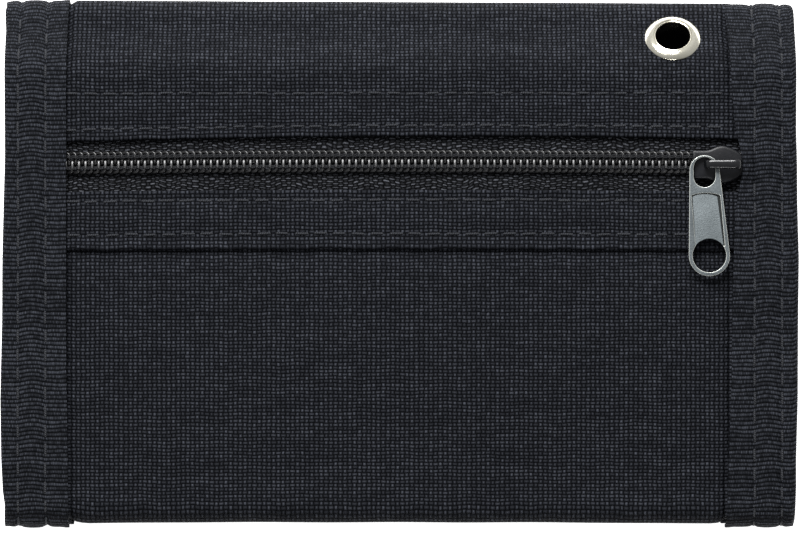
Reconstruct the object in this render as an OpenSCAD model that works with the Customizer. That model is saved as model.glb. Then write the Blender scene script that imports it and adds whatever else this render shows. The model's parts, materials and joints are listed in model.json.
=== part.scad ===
// Fabric wallet that folds in two, with a zipped coin pocket on its front face.
// Millimetres, +Z up, zipped face on top, fold along the +Y edge. The origin is in
// the middle of the closed wallet, on the surface it lies on.
// Each half is described in the plane [y, h], where h is the height above the fold
// plane, measured outwards. The back half is the same construction, turned over.

/* [Wallet] */
// Width across the two bound edges
wallet_w = 130; // [120:1:140]
// Depth from the free edge to the fold
wallet_d = 86; // [82:1:92]
// Height of the fold plane above the table, which is the back half's thickness
fold_z = 7; // [6.6:0.1:8]
// Height of the zipped face above the fold plane
front_rise = 9; // [8.8:0.1:10]
// Space left between the two closed halves at their inner faces
halves_gap = 2.8; // [2.4:0.1:3.4]

/* [Fold] */
// Slope of the front half where it runs down to the fold, in degrees
front_slope = 35; // [30:1:38]
// Slope of the back half where it runs up to the fold, in degrees
back_slope = 26; // [24:1:30]
// Outer radius where the face turns into its slope
shoulder_r = 9; // [7:0.5:10]
// Outer radius of the fold itself
spine_r = 3.6; // [3.6:0.1:4]
// Distance that each half keeps from the fold axis
fold_clear = 0.2; // [0.15:0.05:0.3]

/* [Fabric] */
// Thickness of the grosgrain binding tape
tape_t = 0.6; // [0.5:0.05:0.7]
// Thickness of the outer oxford cloth
cloth_t = 0.6; // [0.5:0.05:0.6]
// Thickness of the lining cloth
lining_t = 0.35; // [0.3:0.05:0.35]
// Thickness of a card pocket sheet
pocket_t = 0.3; // [0.25:0.05:0.3]
// Width of the binding on the face
binding_w = 10.4; // [9:0.1:12]
// Width of a row of sewing thread
thread_w = 0.45; // [0.3:0.05:0.5]
// Thickness of a row of sewing thread
thread_t = 0.2; // [0.15:0.05:0.25]

/* [Zipped face] */
// Hemmed edge of the upper panel
upper_hem_y = 20.4; // [20.2:0.1:21]
// Depth of the hem that is turned under the upper panel
hem_depth = 7.6; // [6:0.1:8]
// Middle line of the zip
zip_y = 16.6; // [16.4:0.1:16.8]
// Upper edge of the stitched band under the zip
band_top_y = 12; // [11:0.1:12.4]
// Lower edge of the stitched band under the zip
band_bottom_y = 2.45; // [2:0.05:3]
// Upper edge of the lower panel, hidden under the band
lower_panel_top_y = 8.6; // [7:0.1:9]
// Rows of top stitching, from the fold down
stitch_rows = [28, 22.3, 10.4, 4.9];

/* [Zip] */
// Width of the closed chain, over both coils
chain_w = 3.8; // [3.4:0.1:4]
// Thickness of a coil above its tape
coil_t = 1.1; // [1:0.05:1.15]
// Room between the two coils for the slider's wedge
coil_gap = 1; // [0.9:0.05:1.1]
// Left end of the slider when the zip is closed
slider_x = 47.85; // [47:0.05:49]
// Length of the slider
slider_l = 9.2; // [8.5:0.1:9.4]
// Width of the slider at its wide end
slider_w = 6.2; // [5.6:0.1:6.4]
// Width of the slider at its narrow end
slider_narrow_w = 4.9; // [4.4:0.1:5.2]
// Thickness of each plate of the slider
plate_t = 0.6; // [0.5:0.05:0.7]

/* [Pull tab] */
// Thickness of the tab
tab_t = 1; // [0.8:0.05:1.1]
// Width of the tab at its bridge end
tab_top_w = 4.85; // [4.6:0.05:5]
// Width of the tab at its free end
tab_end_w = 6.7; // [6:0.05:7]
// Radius of the hole at the free end
tab_hole_r = 2.75; // [2.4:0.05:2.75]

/* [Eyelet] */
// Middle of the eyelet from the middle of the wallet
eyelet_x = 44.8; // [40:0.1:46]
// Middle of the eyelet, seen from above
eyelet_y = 37.2; // [36.8:0.1:37.4]
// Radius of the eyelet's hole
eyelet_hole_r = 2.85; // [2.5:0.05:3]
// Outer radius of the eyelet's flange
eyelet_flange_r = 4.62; // [4.4:0.02:4.8]

/* [Inside] */
// Edge of the inner sheets nearest the free edge
sheet_bottom_y = -29.5; // [-30:0.5:-28]
// Mouths of the three card pockets, the highest first
card_mouths_y = [14, 4, -6];
// Size of the identity window, [x, y]
id_window = [80, 38];
// Size of the hook and loop strips, [x, y]
fastener_size = [90, 16];
// Middle of the hook and loop strips
fastener_y = -29; // [-30:0.5:-28]

/* [Hidden] */

edge_y = wallet_d / 2;
edge_x = wallet_w / 2;
sheet_x = edge_x - tape_t - 0.1;
back_rise = fold_z;
inner_h = halves_gap / 2;
front_stack = front_rise - inner_h;
back_stack = back_rise - inner_h;
spine_t = 2 * tape_t + cloth_t + lining_t;
lining_d = tape_t + cloth_t;
ramp_y = 29;
cut = 0.5;
// a half is [rise, stack, slope]
FRONT = [front_rise, front_stack, front_slope];
BACK = [back_rise, back_stack, back_slope];

// Heights of the front half's layers
cloth_h = front_rise - tape_t;
under_cloth_h = cloth_h - cloth_t;
layer_gap = 0.05;
zip_tape_t = 0.45;
zip_tape_h = under_cloth_h - cloth_t + layer_gap;
coil_bottom_h = zip_tape_h;
coil_w = (chain_w - coil_gap) / 2;
coil_x = edge_x - tape_t - 5.5;
flange_t = 0.45;
lining_h = 3.5;
slit_h = 4;
slit_t = 0.35;
coin_lining_h = slit_h + slit_t + flange_t + layer_gap + lining_t;
back_slit_h = 4.6;
back_lining_h = 4.1;
card_top_h = lining_h - lining_t - layer_gap;
fastener_t = 1.7;

// Eyelet: its wall, and how far it stands out behind and in front of the cloth
barrel_wall = 0.25;
barrel_tail = cloth_t + lining_t + 0.65;
barrel_head = 0.4;
washer_t = 0.35;
washer_r = eyelet_flange_r - 0.85;

// Heights of the slider's plates
lower_plate_h = zip_tape_h - zip_tape_t - 0.45 - plate_t;
upper_plate_h = coil_bottom_h + coil_t + 0.15;
tab_h = front_rise + 0.4;
bridge_h = tab_h + tab_t + 0.3;
bridge_t = 0.8;
bridge_w = 1.4;
bridge_y = 16.35;
bridge_x = [slider_x + 1.75, slider_x + 8.05];
bridge_leg = 1;
swing_x = bridge_x[0] + bridge_leg / 2;

// Arc of n steps around c, from angle a0 to angle a1
function arc(c, r, a0, a1, n = 8) =
    [for (i = [0:n]) let (a = a0 + (a1 - a0) * i / n) c + r * [cos(a), sin(a)]];
function reverse(p) = [for (i = [len(p) - 1:-1:0]) p[i]];

// Middle of the rounded free edge
function roll_c(half) = [-edge_y + half[1] / 2, half[0] - half[1] / 2];
// Angle on the rounded free edge, inset by d, at height h
function roll_a(half, d, h) = 180 - asin((h - roll_c(half)[1]) / (half[1] / 2 - d));
// Middle of the fold's own radius
spine_c = [edge_y - spine_r, fold_clear];
// Middle of the shoulder's radius: the slope between both radii closes the height
function shoulder_c(half) = let (a = half[2],
    drop = half[0] - fold_clear - shoulder_r * (1 - cos(a)) - spine_r * cos(a))
    [edge_y - spine_r * (1 - sin(a)) - drop / tan(a) - shoulder_r * sin(a), half[0] - shoulder_r];
// Outer face at depth d, from the angle a0 of the free edge to the fold
function outer_line(half, d, a0 = 180) = concat(
    arc(roll_c(half), half[1] / 2 - d, a0, 90),
    arc(shoulder_c(half), shoulder_r - d, 90, 90 - half[2]),
    arc(spine_c, spine_r - d, 90 - half[2], 0));
// Outer face at depth d, from y0 to the fold
function face_line(half, d, y0) = concat([[y0, half[0] - d]],
    arc(shoulder_c(half), shoulder_r - d, 90, 90 - half[2]),
    arc(spine_c, spine_r - d, 90 - half[2], 0));
// Point of the slope at depth d
function slope_point(half, d, y) = let (a = half[2], p = spine_c + (spine_r - d) * [sin(a), cos(a)])
    [y, p[1] + (p[0] - y) * tan(a)];
// Inner sheet at height h0 from y0, which ramps up behind the slope and follows it at depth d
function inner_line(half, h0, d, y0) = let (a = half[2])
    concat([[y0, h0], [ramp_y, h0], shoulder_c(half) + (shoulder_r - d) * [sin(a), cos(a)]],
        arc(spine_c, spine_r - d, 90 - a, 0, 4));
// Extends a line that ends at the fold past the fold plane, for cutting
function past_fold(p) = concat(p, [p[len(p) - 1] - [0, cut]]);
// Area between two lines that run the same way
function between(a, b) = concat(a, reverse(b));

// Sweeps a [y, h] outline along X
module along_x(x0, x1, outline) {
    translate([x0, 0, 0])
        rotate([90, 0, 90])
            linear_extrude(x1 - x0)
                polygon(outline);
}
// Places a half drawn in [x, y, h]
module in_front() {
    translate([0, 0, fold_z])
        children();
}
module in_back() {
    translate([0, 0, fold_z])
        mirror([0, 0, 1])
            children();
}
// Flat sheet from h down to h - t
module sheet(x0, x1, y0, y1, h, t) {
    translate([x0, y0, h - t])
        cube([x1 - x0, y1 - y0, t]);
}
// Turns a left-hand piece into a right-hand one
module on_side(side) {
    if (side > 0)
        mirror([1, 0, 0])
            children();
    else
        children();
}

// Tape folded round a whole bound edge, drawn for the left edge
module full_binding(half) {
    rim = arc(roll_c(half), half[1] / 2, 270, 180);
    rim_in = arc(roll_c(half), half[1] / 2 - tape_t, 270, 180);
    difference() {
        along_x(-edge_x, binding_w - edge_x, concat(rim, outer_line(half, 0),
            reverse(inner_line(half, inner_h, spine_t, rim[0][0]))));
        along_x(tape_t - edge_x, binding_w - edge_x + cut, concat(rim_in,
            past_fold(outer_line(half, tape_t)),
            reverse(past_fold(inner_line(half, inner_h + tape_t, spine_t - tape_t, rim_in[0][0])))));
        thread_rows(half);
    }
}
// Tape round the shell, above the slit of the side pocket, and round all the cloth at the fold
module shell_binding(half, low_h, flange, sheet_h) {
    y0 = roll_c(half)[0];
    open_h = low_h - 0.2;
    difference() {
        along_x(-edge_x, binding_w - edge_x, between(
            outer_line(half, 0, roll_a(half, 0, low_h)),
            inner_line(half, low_h, spine_t, y0)));
        along_x(tape_t - edge_x, binding_w - edge_x + cut, concat([[y0, open_h]],
            past_fold(outer_line(half, tape_t, roll_a(half, tape_t, open_h))),
            reverse(past_fold(inner_line(half, low_h + flange, spine_t - tape_t, y0)))));
        thread_rows(half);
        lining_sheet(half, sheet_h);
    }
}
// Tape round the inner sheets alone, below the slit of the side pocket
module sheet_binding(half, top_h) {
    c = roll_c(half);
    r = half[1] / 2;
    open_h = top_h + 0.2;
    difference() {
        along_x(-edge_x, binding_w - edge_x, concat(
            arc(c, r, roll_a(half, 0, top_h), 270),
            [[ramp_y, inner_h], [ramp_y, top_h]]));
        along_x(tape_t - edge_x, binding_w - edge_x + cut, concat(
            [[c[0], open_h]],
            arc(c, r - tape_t, roll_a(half, tape_t, open_h), 270),
            [[ramp_y + cut, inner_h + tape_t], [ramp_y + cut, top_h - flange_t], [c[0], top_h - flange_t]]));
    }
}
// Lining of a half at height h, up to the fold, with room for the right edge's inner tape
module lining_sheet(half, h) {
    y0 = roll_c(half)[0] + 1;
    along_x(-sheet_x, sheet_x, between(
        inner_line(half, h, lining_d, y0),
        inner_line(half, h - lining_t, lining_d + lining_t, y0)));
}
// The two rows of thread that hold a binding, drawn for the left edge
module thread_rows(half) {
    for (row = [2.5, 7])
        along_x(row - thread_w / 2 - edge_x, row + thread_w / 2 - edge_x,
            between(outer_line(half, 0, 150), outer_line(half, thread_t, 150)));
}

// --- Front half: zipped face ---
module upper_panel() {
    top = face_line(FRONT, tape_t, upper_hem_y);
    bottom = face_line(FRONT, tape_t + cloth_t, upper_hem_y + hem_depth);
    hem = [[upper_hem_y + hem_depth, zip_tape_h + layer_gap], [upper_hem_y, zip_tape_h + layer_gap]];
    color("#2b2c31")
        in_front()
            difference() {
                along_x(-sheet_x, sheet_x, concat(top, reverse(bottom), hem));
                eyelet_hole();
            }
}
module lower_panel() {
    d = tape_t + cloth_t - layer_gap;
    c = roll_c(FRONT);
    r = front_stack / 2;
    outer = concat([[sheet_bottom_y, c[1] - r + d]], arc(c, r - d, 270, 90),
        [[lower_panel_top_y, front_rise - d]]);
    inner = concat([[sheet_bottom_y, c[1] - r + d + cloth_t]], arc(c, r - d - cloth_t, 270, 90),
        [[lower_panel_top_y, front_rise - d - cloth_t]]);
    color("#26272c")
        in_front()
            along_x(-sheet_x, sheet_x, between(outer, inner));
}
module lower_band() {
    color("#2b2c31")
        in_front()
            sheet(-sheet_x, sheet_x, band_bottom_y, band_top_y, cloth_h, cloth_t - layer_gap * 2);
}
module face_stitching() {
    color("#3a3b40")
        in_front()
            for (y = stitch_rows)
                sheet(binding_w - edge_x, edge_x - binding_w - 0.5, y - thread_w / 2, y + thread_w / 2,
                    cloth_h + thread_t, thread_t);
}

// --- Front half: zip ---
module zip_tape_upper() {
    color("#17181a")
        in_front()
            sheet(-coil_x, coil_x, zip_y + coil_gap / 2, upper_hem_y + hem_depth - 2, zip_tape_h, zip_tape_t);
}
module zip_tape_lower() {
    color("#17181a")
        in_front()
            sheet(-coil_x, coil_x, band_bottom_y + 4, zip_y - coil_gap / 2, zip_tape_h, zip_tape_t);
}
module zip_coil_upper() {
    color("#101113")
        in_front()
            sheet(-coil_x, coil_x, zip_y + coil_gap / 2 + 0.05, zip_y + chain_w / 2 + 0.05,
                coil_bottom_h + coil_t, coil_t);
}
module zip_coil_lower() {
    color("#101113")
        in_front()
            sheet(-coil_x, coil_x, zip_y - chain_w / 2 - 0.05, zip_y - coil_gap / 2 - 0.05,
                coil_bottom_h + coil_t, coil_t);
}
module zip_end_stops() {
    stop_l = 1.8;
    stop_t = 1;
    color("#5a5b5e")
        in_front() {
            sheet(-coil_x - stop_l, -coil_x, zip_y - chain_w / 2, zip_y + chain_w / 2,
                coil_bottom_h + stop_t, stop_t);
            for (y = [zip_y - chain_w / 2, zip_y + coil_gap / 2])
                sheet(coil_x, coil_x + stop_l, y, y + coil_w, coil_bottom_h + stop_t, stop_t);
        }
}

// --- Slider and pull tab ---
// Outline of a slider plate, narrow at the closed chain and round at its wide end
module slider_outline() {
    w = slider_w / 2;
    n = slider_narrow_w / 2;
    translate([slider_x, zip_y - 0.25])
        intersection() {
            polygon([[0, -n], [2.6, -n], [4.4, -w], [slider_l, -w], [slider_l, w], [4.4, w], [2.6, n],
                [0, n]]);
            translate([slider_l - 5.6, 0])
                union() {
                    circle(r = 5.6, $fn = 96);
                    translate([-8, -w])
                        square([8, 2 * w]);
                }
        }
}
module slider_body() {
    color("#232427")
        in_front() {
            for (h = [lower_plate_h, upper_plate_h])
                translate([0, 0, h])
                    linear_extrude(plate_t)
                        slider_outline();
            translate([slider_x + 6.2, zip_y - 0.35, lower_plate_h])
                cube([2.2, 0.7, upper_plate_h - lower_plate_h + plate_t]);
        }
}
module slider_bridge() {
    color("#2c2d30")
        in_front() {
            translate([bridge_x[0], bridge_y - bridge_w / 2, bridge_h])
                cube([bridge_x[1] - bridge_x[0], bridge_w, bridge_t]);
            for (x = [bridge_x[0], bridge_x[1] - bridge_leg])
                translate([x, bridge_y - bridge_w / 2, upper_plate_h + plate_t])
                    cube([bridge_leg, bridge_w, bridge_h - upper_plate_h - plate_t + 0.1]);
        }
}
module pull_tab() {
    top_c = [slider_x + 1.85, 15.4];
    end_c = [slider_x + 2.65, 1.45];
    hole_top_c = [slider_x + 1.85, 15.85];
    hole_low_c = [slider_x + 1.85, 14.4];
    hole_r = 1.7;
    color("#85888b")
        in_front()
            translate([0, 0, tab_h])
                difference() {
                    linear_extrude(tab_t)
                        union() {
                            translate(top_c)
                                circle(d = tab_top_w, $fn = 96);
                            translate(end_c)
                                circle(d = tab_end_w, $fn = 96);
                            polygon([top_c - [tab_top_w / 2, 0], end_c - [tab_end_w / 2, 0],
                                end_c + [tab_end_w / 2, 0], top_c + [tab_top_w / 2, 0]]);
                        }
                    for (c = [hole_top_c, hole_low_c])
                        translate([c[0], c[1], -1])
                            cylinder(h = tab_t + 2, r = hole_r, $fn = 64);
                    translate([hole_low_c[0] - hole_r, hole_low_c[1], -1])
                        cube([2 * hole_r, hole_top_c[1] - hole_low_c[1], tab_t + 2]);
                    translate([end_c[0], end_c[1], -1])
                        cylinder(h = tab_t + 2, r = tab_hole_r, $fn = 96);
                }
}

// --- Front half: eyelet ---
// Middle of the eyelet on the outer cloth, with its axis square to the slope
module eyelet_frame() {
    p = slope_point(FRONT, tape_t, eyelet_y);
    translate([eyelet_x, p[0], p[1]])
        rotate([-front_slope, 0, 0])
            children();
}
// Hole that the eyelet's barrel fills
module eyelet_hole() {
    eyelet_frame()
        cylinder(h = 5, r = eyelet_hole_r + barrel_wall + 0.05, center = true, $fn = 64);
}
// Dent that the washer leaves where the lining bends away from the slope
module washer_dent() {
    eyelet_frame()
        translate([0, 0, -barrel_tail - 0.05])
            cylinder(h = washer_t + 0.1, r = washer_r + 0.05, $fn = 96);
}
module eyelet_barrel() {
    dome = (eyelet_flange_r - eyelet_hole_r) / 2;
    color("#c9c4b4")
        in_front()
            eyelet_frame()
                rotate_extrude($fn = 96)
                    union() {
                        translate([eyelet_hole_r, -barrel_tail])
                            square([barrel_wall, barrel_tail + barrel_head]);
                        intersection() {
                            translate([eyelet_hole_r + dome, 0])
                                circle(r = dome, $fn = 48);
                            translate([eyelet_hole_r, 0.02])
                                square(2 * dome);
                        }
                    }
}
module eyelet_washer() {
    color("#b9b5a8")
        in_front()
            eyelet_frame()
                translate([0, 0, -barrel_tail])
                    difference() {
                        cylinder(h = washer_t, r = washer_r, $fn = 96);
                        translate([0, 0, -1])
                            cylinder(h = 3, r = eyelet_hole_r + barrel_wall, $fn = 96);
                    }
}

// --- Front half: inside ---
module coin_pocket_lining() {
    top_y = upper_hem_y + hem_depth - 1;
    bottom_y = -edge_y + front_stack / 2;
    color("#202124")
        in_front()
            along_x(-sheet_x, sheet_x, [[bottom_y, coin_lining_h], [top_y, coin_lining_h],
                [top_y, zip_tape_h + layer_gap], [top_y + lining_t, zip_tape_h + layer_gap],
                [top_y + lining_t, coin_lining_h - lining_t], [bottom_y, coin_lining_h - lining_t]]);
}
module front_lining() {
    color("#202124")
        in_front()
            difference() {
                lining_sheet(FRONT, lining_h);
                eyelet_hole();
                washer_dent();
            }
}
module card_pocket(i) {
    color("#2a2b2f")
        in_front()
            sheet(-sheet_x, sheet_x, sheet_bottom_y + 0.1, card_mouths_y[i],
                card_top_h - i * (pocket_t + layer_gap), pocket_t);
}
module card_pocket_1() { card_pocket(0); }
module card_pocket_2() { card_pocket(1); }
module card_pocket_3() { card_pocket(2); }
module loop_strip() {
    color("#1c1c1f")
        in_front()
            fastener_strip();
}
module fastener_strip() {
    sheet(-fastener_size[0] / 2, fastener_size[0] / 2, fastener_y - fastener_size[1] / 2,
        fastener_y + fastener_size[1] / 2, fold_clear + fastener_t, fastener_t);
}

// --- Front half: bindings ---
module binding_left_front() {
    color("#2a2b2e")
        in_front()
            full_binding(FRONT);
}
module binding_right_front() {
    slot_x = [edge_x - binding_w - cut, slider_x + slider_l + 0.5];
    color("#2a2b2e")
        in_front()
            difference() {
                on_side(1)
                    shell_binding(FRONT, slit_h + slit_t, flange_t, lining_h);
                translate([slot_x[0], zip_y - 0.25 - slider_w / 2 - 0.4, cloth_h - 0.1])
                    cube([slot_x[1] - slot_x[0], slider_w + 0.8, tape_t + 1]);
            }
}
module inner_binding_front() {
    color("#2a2b2e")
        in_front()
            on_side(1)
                sheet_binding(FRONT, slit_h);
}
module binding_stitching_front() {
    color("#3a3b40")
        in_front()
            for (side = [-1, 1])
                on_side(side)
                    thread_rows(FRONT);
}

// --- Back half ---
module back_panel() {
    c = roll_c(BACK);
    r = back_stack / 2;
    outer = concat([[sheet_bottom_y, c[1] - r + tape_t]], arc(c, r - tape_t, 270, 180),
        outer_line(BACK, tape_t));
    inner = concat([[sheet_bottom_y, c[1] - r + tape_t + cloth_t]],
        arc(c, r - tape_t - cloth_t, 270, 180), outer_line(BACK, tape_t + cloth_t));
    color("#2b2c31")
        in_back()
            along_x(-sheet_x, sheet_x, between(outer, inner));
}
module back_lining() {
    color("#202124")
        in_back()
            lining_sheet(BACK, back_lining_h);
}
module id_backing() {
    color("#2a2b2f")
        in_back()
            sheet(-sheet_x, sheet_x, sheet_bottom_y + 0.1, 27, 3.35, pocket_t);
}
module id_film() {
    overlap = 4;
    color("#c8d2d8", 0.4)
        in_back()
            sheet(-id_window[0] / 2 - overlap, id_window[0] / 2 + overlap,
                2 - id_window[1] / 2 - overlap, 2 + id_window[1] / 2 + overlap, 2.95, 0.25);
}
module id_frame() {
    color("#2a2b2f")
        in_back()
            difference() {
                sheet(-sheet_x, sheet_x, sheet_bottom_y + 0.1, 26, 2.65, pocket_t * 1.5);
                translate([-id_window[0] / 2, 2 - id_window[1] / 2, 0])
                    cube([id_window[0], id_window[1], 4]);
            }
}
module hook_strip() {
    color("#1c1c1f")
        in_back()
            fastener_strip();
}
module binding_left_back() {
    color("#2a2b2e")
        in_back()
            full_binding(BACK);
}
module binding_right_back() {
    color("#2a2b2e")
        in_back()
            on_side(1)
                shell_binding(BACK, back_slit_h + slit_t, flange_t, back_lining_h);
}
module inner_binding_back() {
    color("#2a2b2e")
        in_back()
            on_side(1)
                sheet_binding(BACK, back_slit_h);
}
module binding_stitching_back() {
    color("#3a3b40")
        in_back()
            for (side = [-1, 1])
                on_side(side)
                    thread_rows(BACK);
}

upper_panel();
lower_panel();
lower_band();
zip_tape_upper();
zip_tape_lower();
zip_coil_upper();
zip_coil_lower();
zip_end_stops();
coin_pocket_lining();
front_lining();
card_pocket_1();
card_pocket_2();
card_pocket_3();
loop_strip();
eyelet_barrel();
eyelet_washer();
binding_left_front();
binding_right_front();
inner_binding_front();
face_stitching();
binding_stitching_front();
back_panel();
back_lining();
id_backing();
id_film();
id_frame();
hook_strip();
binding_left_back();
binding_right_back();
inner_binding_back();
binding_stitching_back();
slider_body();
slider_bridge();
pull_tab();
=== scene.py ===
"""Looks of a fabric wallet that folds in two, with a zipped coin pocket on its front.

Shapes are worked out in millimetres in the CAD frame: +Z up, zipped face on top, fold
along the +Y edge. make_object turns them into metres.
"""
import json
import math
import random

import bpy
import numpy as np
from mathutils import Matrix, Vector


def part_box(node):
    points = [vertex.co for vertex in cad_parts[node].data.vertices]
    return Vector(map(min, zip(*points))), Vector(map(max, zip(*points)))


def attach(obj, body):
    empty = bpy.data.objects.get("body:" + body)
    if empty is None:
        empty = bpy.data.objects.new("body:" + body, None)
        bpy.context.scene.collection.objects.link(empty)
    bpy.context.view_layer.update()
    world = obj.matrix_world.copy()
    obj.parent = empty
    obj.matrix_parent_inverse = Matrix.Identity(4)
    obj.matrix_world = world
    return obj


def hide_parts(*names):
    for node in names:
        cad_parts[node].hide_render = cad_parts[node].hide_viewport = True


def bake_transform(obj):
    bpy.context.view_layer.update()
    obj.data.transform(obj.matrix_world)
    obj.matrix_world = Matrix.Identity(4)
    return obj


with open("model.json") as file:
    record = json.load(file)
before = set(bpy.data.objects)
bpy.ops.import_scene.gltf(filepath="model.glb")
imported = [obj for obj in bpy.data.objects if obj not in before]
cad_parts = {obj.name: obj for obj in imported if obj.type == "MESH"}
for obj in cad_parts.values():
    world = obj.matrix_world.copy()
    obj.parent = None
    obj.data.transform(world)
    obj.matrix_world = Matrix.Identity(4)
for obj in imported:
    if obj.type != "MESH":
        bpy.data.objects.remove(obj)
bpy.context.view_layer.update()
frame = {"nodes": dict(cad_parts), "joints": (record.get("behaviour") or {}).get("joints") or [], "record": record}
random.seed(7)
MM = 0.001


def box_mm(node):
    low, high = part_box(node)
    return np.array(low) / MM, np.array(high) / MM


# --- Sizes that the frame gives -------------------------------------------------------
JOINTS = {j["name"]: j for j in frame["joints"]}
MOUNTS = {m["name"]: m for m in frame["record"]["mounts"]}
FOLD_Z = JOINTS["fold"]["pos_m"][2] / MM
shell_low, shell_high = box_mm("binding_left_front")
back_low = box_mm("binding_left_back")[0]
panel_low, panel_high = box_mm("upper_panel")
band_low, band_high = box_mm("lower_band")
EDGE_X = -shell_low[0]
EDGE_Y = shell_high[1]
FRONT_RISE = shell_high[2] - FOLD_Z
BACK_RISE = FOLD_Z - back_low[2]
INNER_H = box_mm("inner_binding_front")[0][2] - FOLD_Z
FOLD_CLEAR = shell_low[2] - FOLD_Z
TAPE_W = shell_high[0] - shell_low[0]
HEM_Y = panel_low[1]
BAND_TOP = band_high[1]
BAND_BOTTOM = band_low[1]
coil_low = box_mm("zip_coil_lower")[0]
coil_high = box_mm("zip_coil_upper")[1]
ZIP_Y = (coil_low[1] + coil_high[1]) / 2
COIL_X = coil_high[0]
COIL_BOTTOM = coil_low[2]
COIL_T = coil_high[2] - coil_low[2]
SHEET_X = panel_high[0]

# --- Sizes of the cloth ---------------------------------------------------------------
FRONT_SLOPE = 35
BACK_SLOPE = 26
SHOULDER_R = 9
SPINE_R = 3.6
TAPE_T = 0.5
CLOTH_T = 0.5
LINING_T = 0.3
SHELL_DEPTH = 0.88
LINING_DEPTH = 1.42
SPINE_T = 2.75
HEM_DEPTH = 7.6
HEM_UNDER_H = 7.55
STITCH_ROWS = (28, 22.3, 10.4, 4.9)
BINDING_ROWS = (2.5, 7.0)
STITCH_PITCH = 3.1
STITCH_LENGTH = 2.35
STITCH_POINTS = 9
STITCH_SINK = -0.22
THREAD_R = 0.21
SHEET_BOTTOM = -29.5
RAMP_Y = 29


class Half:
    """One half of the wallet, in the plane [y, h], where h is the height above the fold plane."""

    def __init__(self, rise, slope, up):
        self.rise = rise
        self.slope = slope
        self.up = up
        self.roll_r = (rise - INNER_H) / 2
        self.roll_c = (-EDGE_Y + self.roll_r, rise - self.roll_r)
        a = math.radians(slope)
        drop = rise - FOLD_CLEAR - SHOULDER_R * (1 - math.cos(a)) - SPINE_R * math.cos(a)
        run = SPINE_R * (1 - math.sin(a)) + drop / math.tan(a) + SHOULDER_R * math.sin(a)
        self.shoulder_c = (EDGE_Y - run, rise - SHOULDER_R)
        self.spine_c = (EDGE_Y - SPINE_R, FOLD_CLEAR)

    def world(self, points):
        p = np.array(points, float)
        return np.stack([p[:, 0], FOLD_Z + self.up * p[:, 1]], 1)

    def roll_angle(self, depth, h):
        share = (h - self.roll_c[1]) / (self.roll_r - depth)
        return 180 - math.degrees(math.asin(max(-1, min(1, share))))

    def roll(self, depth, a0, a1, n=24):
        return arc(self.roll_c, self.roll_r - depth, a0, a1, n)

    def flat(self, depth, y0, n=70):
        return line((y0, self.rise - depth), (self.shoulder_c[0], self.rise - depth), n)

    def fold_side(self, depth, n=14):
        """From the shoulder, down the slope, to the fold plane."""
        return join(
            arc(self.shoulder_c, SHOULDER_R - depth, 90, 90 - self.slope, n),
            line(None, None, 12),
            arc(self.spine_c, max(SPINE_R - depth, 0.05), 90 - self.slope, 0, n),
        )

    def inner_side(self, h0, depth, n=14):
        """From the ramp behind the slope, to the fold plane."""
        a = math.radians(self.slope)
        top = (self.shoulder_c[0] + (SHOULDER_R - depth) * math.sin(a),
               self.shoulder_c[1] + (SHOULDER_R - depth) * math.cos(a))
        return join(
            line((RAMP_Y, h0), top, n),
            line(None, None, 12),
            arc(self.spine_c, max(SPINE_R - depth, 0.05), 90 - self.slope, 0, n),
        )


def arc(c, r, a0, a1, n):
    return [(c[0] + r * math.cos(math.radians(a)), c[1] + r * math.sin(math.radians(a)))
            for a in np.linspace(a0, a1, n + 1)]


def line(p, q, n):
    """n steps from p to q; with no ends, the n steps that close the gap between its neighbours."""
    if p is None:
        return n
    return [(p[0] + (q[0] - p[0]) * t, p[1] + (q[1] - p[1]) * t) for t in np.linspace(0, 1, n + 1)]


def join(*parts):
    out = []
    for i, part in enumerate(parts):
        if isinstance(part, int):
            part = line(out[-1], parts[i + 1][0], part)
        out += part[1:] if out and math.dist(out[-1], part[0]) < 1e-6 else part
    return out


FRONT = Half(FRONT_RISE, FRONT_SLOPE, 1)
BACK = Half(BACK_RISE, BACK_SLOPE, -1)


def lengths(path):
    return np.concatenate([[0], np.cumsum(np.linalg.norm(np.diff(path, axis=0), axis=1))])


def normals_2d(path):
    """Unit normals to the left of a path."""
    t = np.gradient(path, axis=0)
    t /= np.maximum(np.linalg.norm(t, axis=1), 1e-9)[:, None]
    return np.stack([-t[:, 1], t[:, 0]], 1)


def smooth(t):
    t = np.clip(t, 0, 1)
    return t * t * (3 - 2 * t)


def gauss(t):
    return np.exp(-t * t)


def ripple(x, y, seed, scale=11.0):
    """Slow, even unevenness of hand-worked cloth, from -1 to 1."""
    rng = np.random.RandomState(seed)
    total = 0
    for _ in range(5):
        angle = rng.uniform(0, math.tau)
        wave = math.tau / (scale * rng.uniform(0.7, 1.6))
        total = total + np.sin(wave * (x * math.cos(angle) + y * math.sin(angle)) + rng.uniform(0, math.tau))
    return total / 5


# --- Mesh helpers ---------------------------------------------------------------------
def make_object(name, verts, faces, material, uv=None, corner_uv=None, sharp=50):
    mesh = bpy.data.meshes.new(name)
    mesh.from_pydata((np.asarray(verts) * MM).tolist(), [], [tuple(map(int, f)) for f in faces])
    layer = mesh.uv_layers.new(name="cloth")
    if corner_uv is None:
        index = np.zeros(len(mesh.loops), np.int32)
        mesh.loops.foreach_get("vertex_index", index)
        flat_uv = np.zeros((len(verts), 2)) if uv is None else np.asarray(uv, float)
        corner_uv = flat_uv[index]
    layer.data.foreach_set("uv", np.asarray(corner_uv, np.float32).ravel())
    mesh.materials.append(material)
    mesh.shade_smooth()
    mesh.set_sharp_from_angle(angle=math.radians(sharp))
    obj = bpy.data.objects.new(name, mesh)
    bpy.context.scene.collection.objects.link(obj)
    return obj


def grid_faces(na, nb, base=0, flip=False):
    i, j = np.meshgrid(np.arange(na - 1), np.arange(nb - 1), indexing="ij")
    a = (base + i * nb + j).ravel()
    quads = np.stack([a, a + nb, a + nb + 1, a + 1], 1)
    return quads[:, ::-1] if flip else quads


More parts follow.
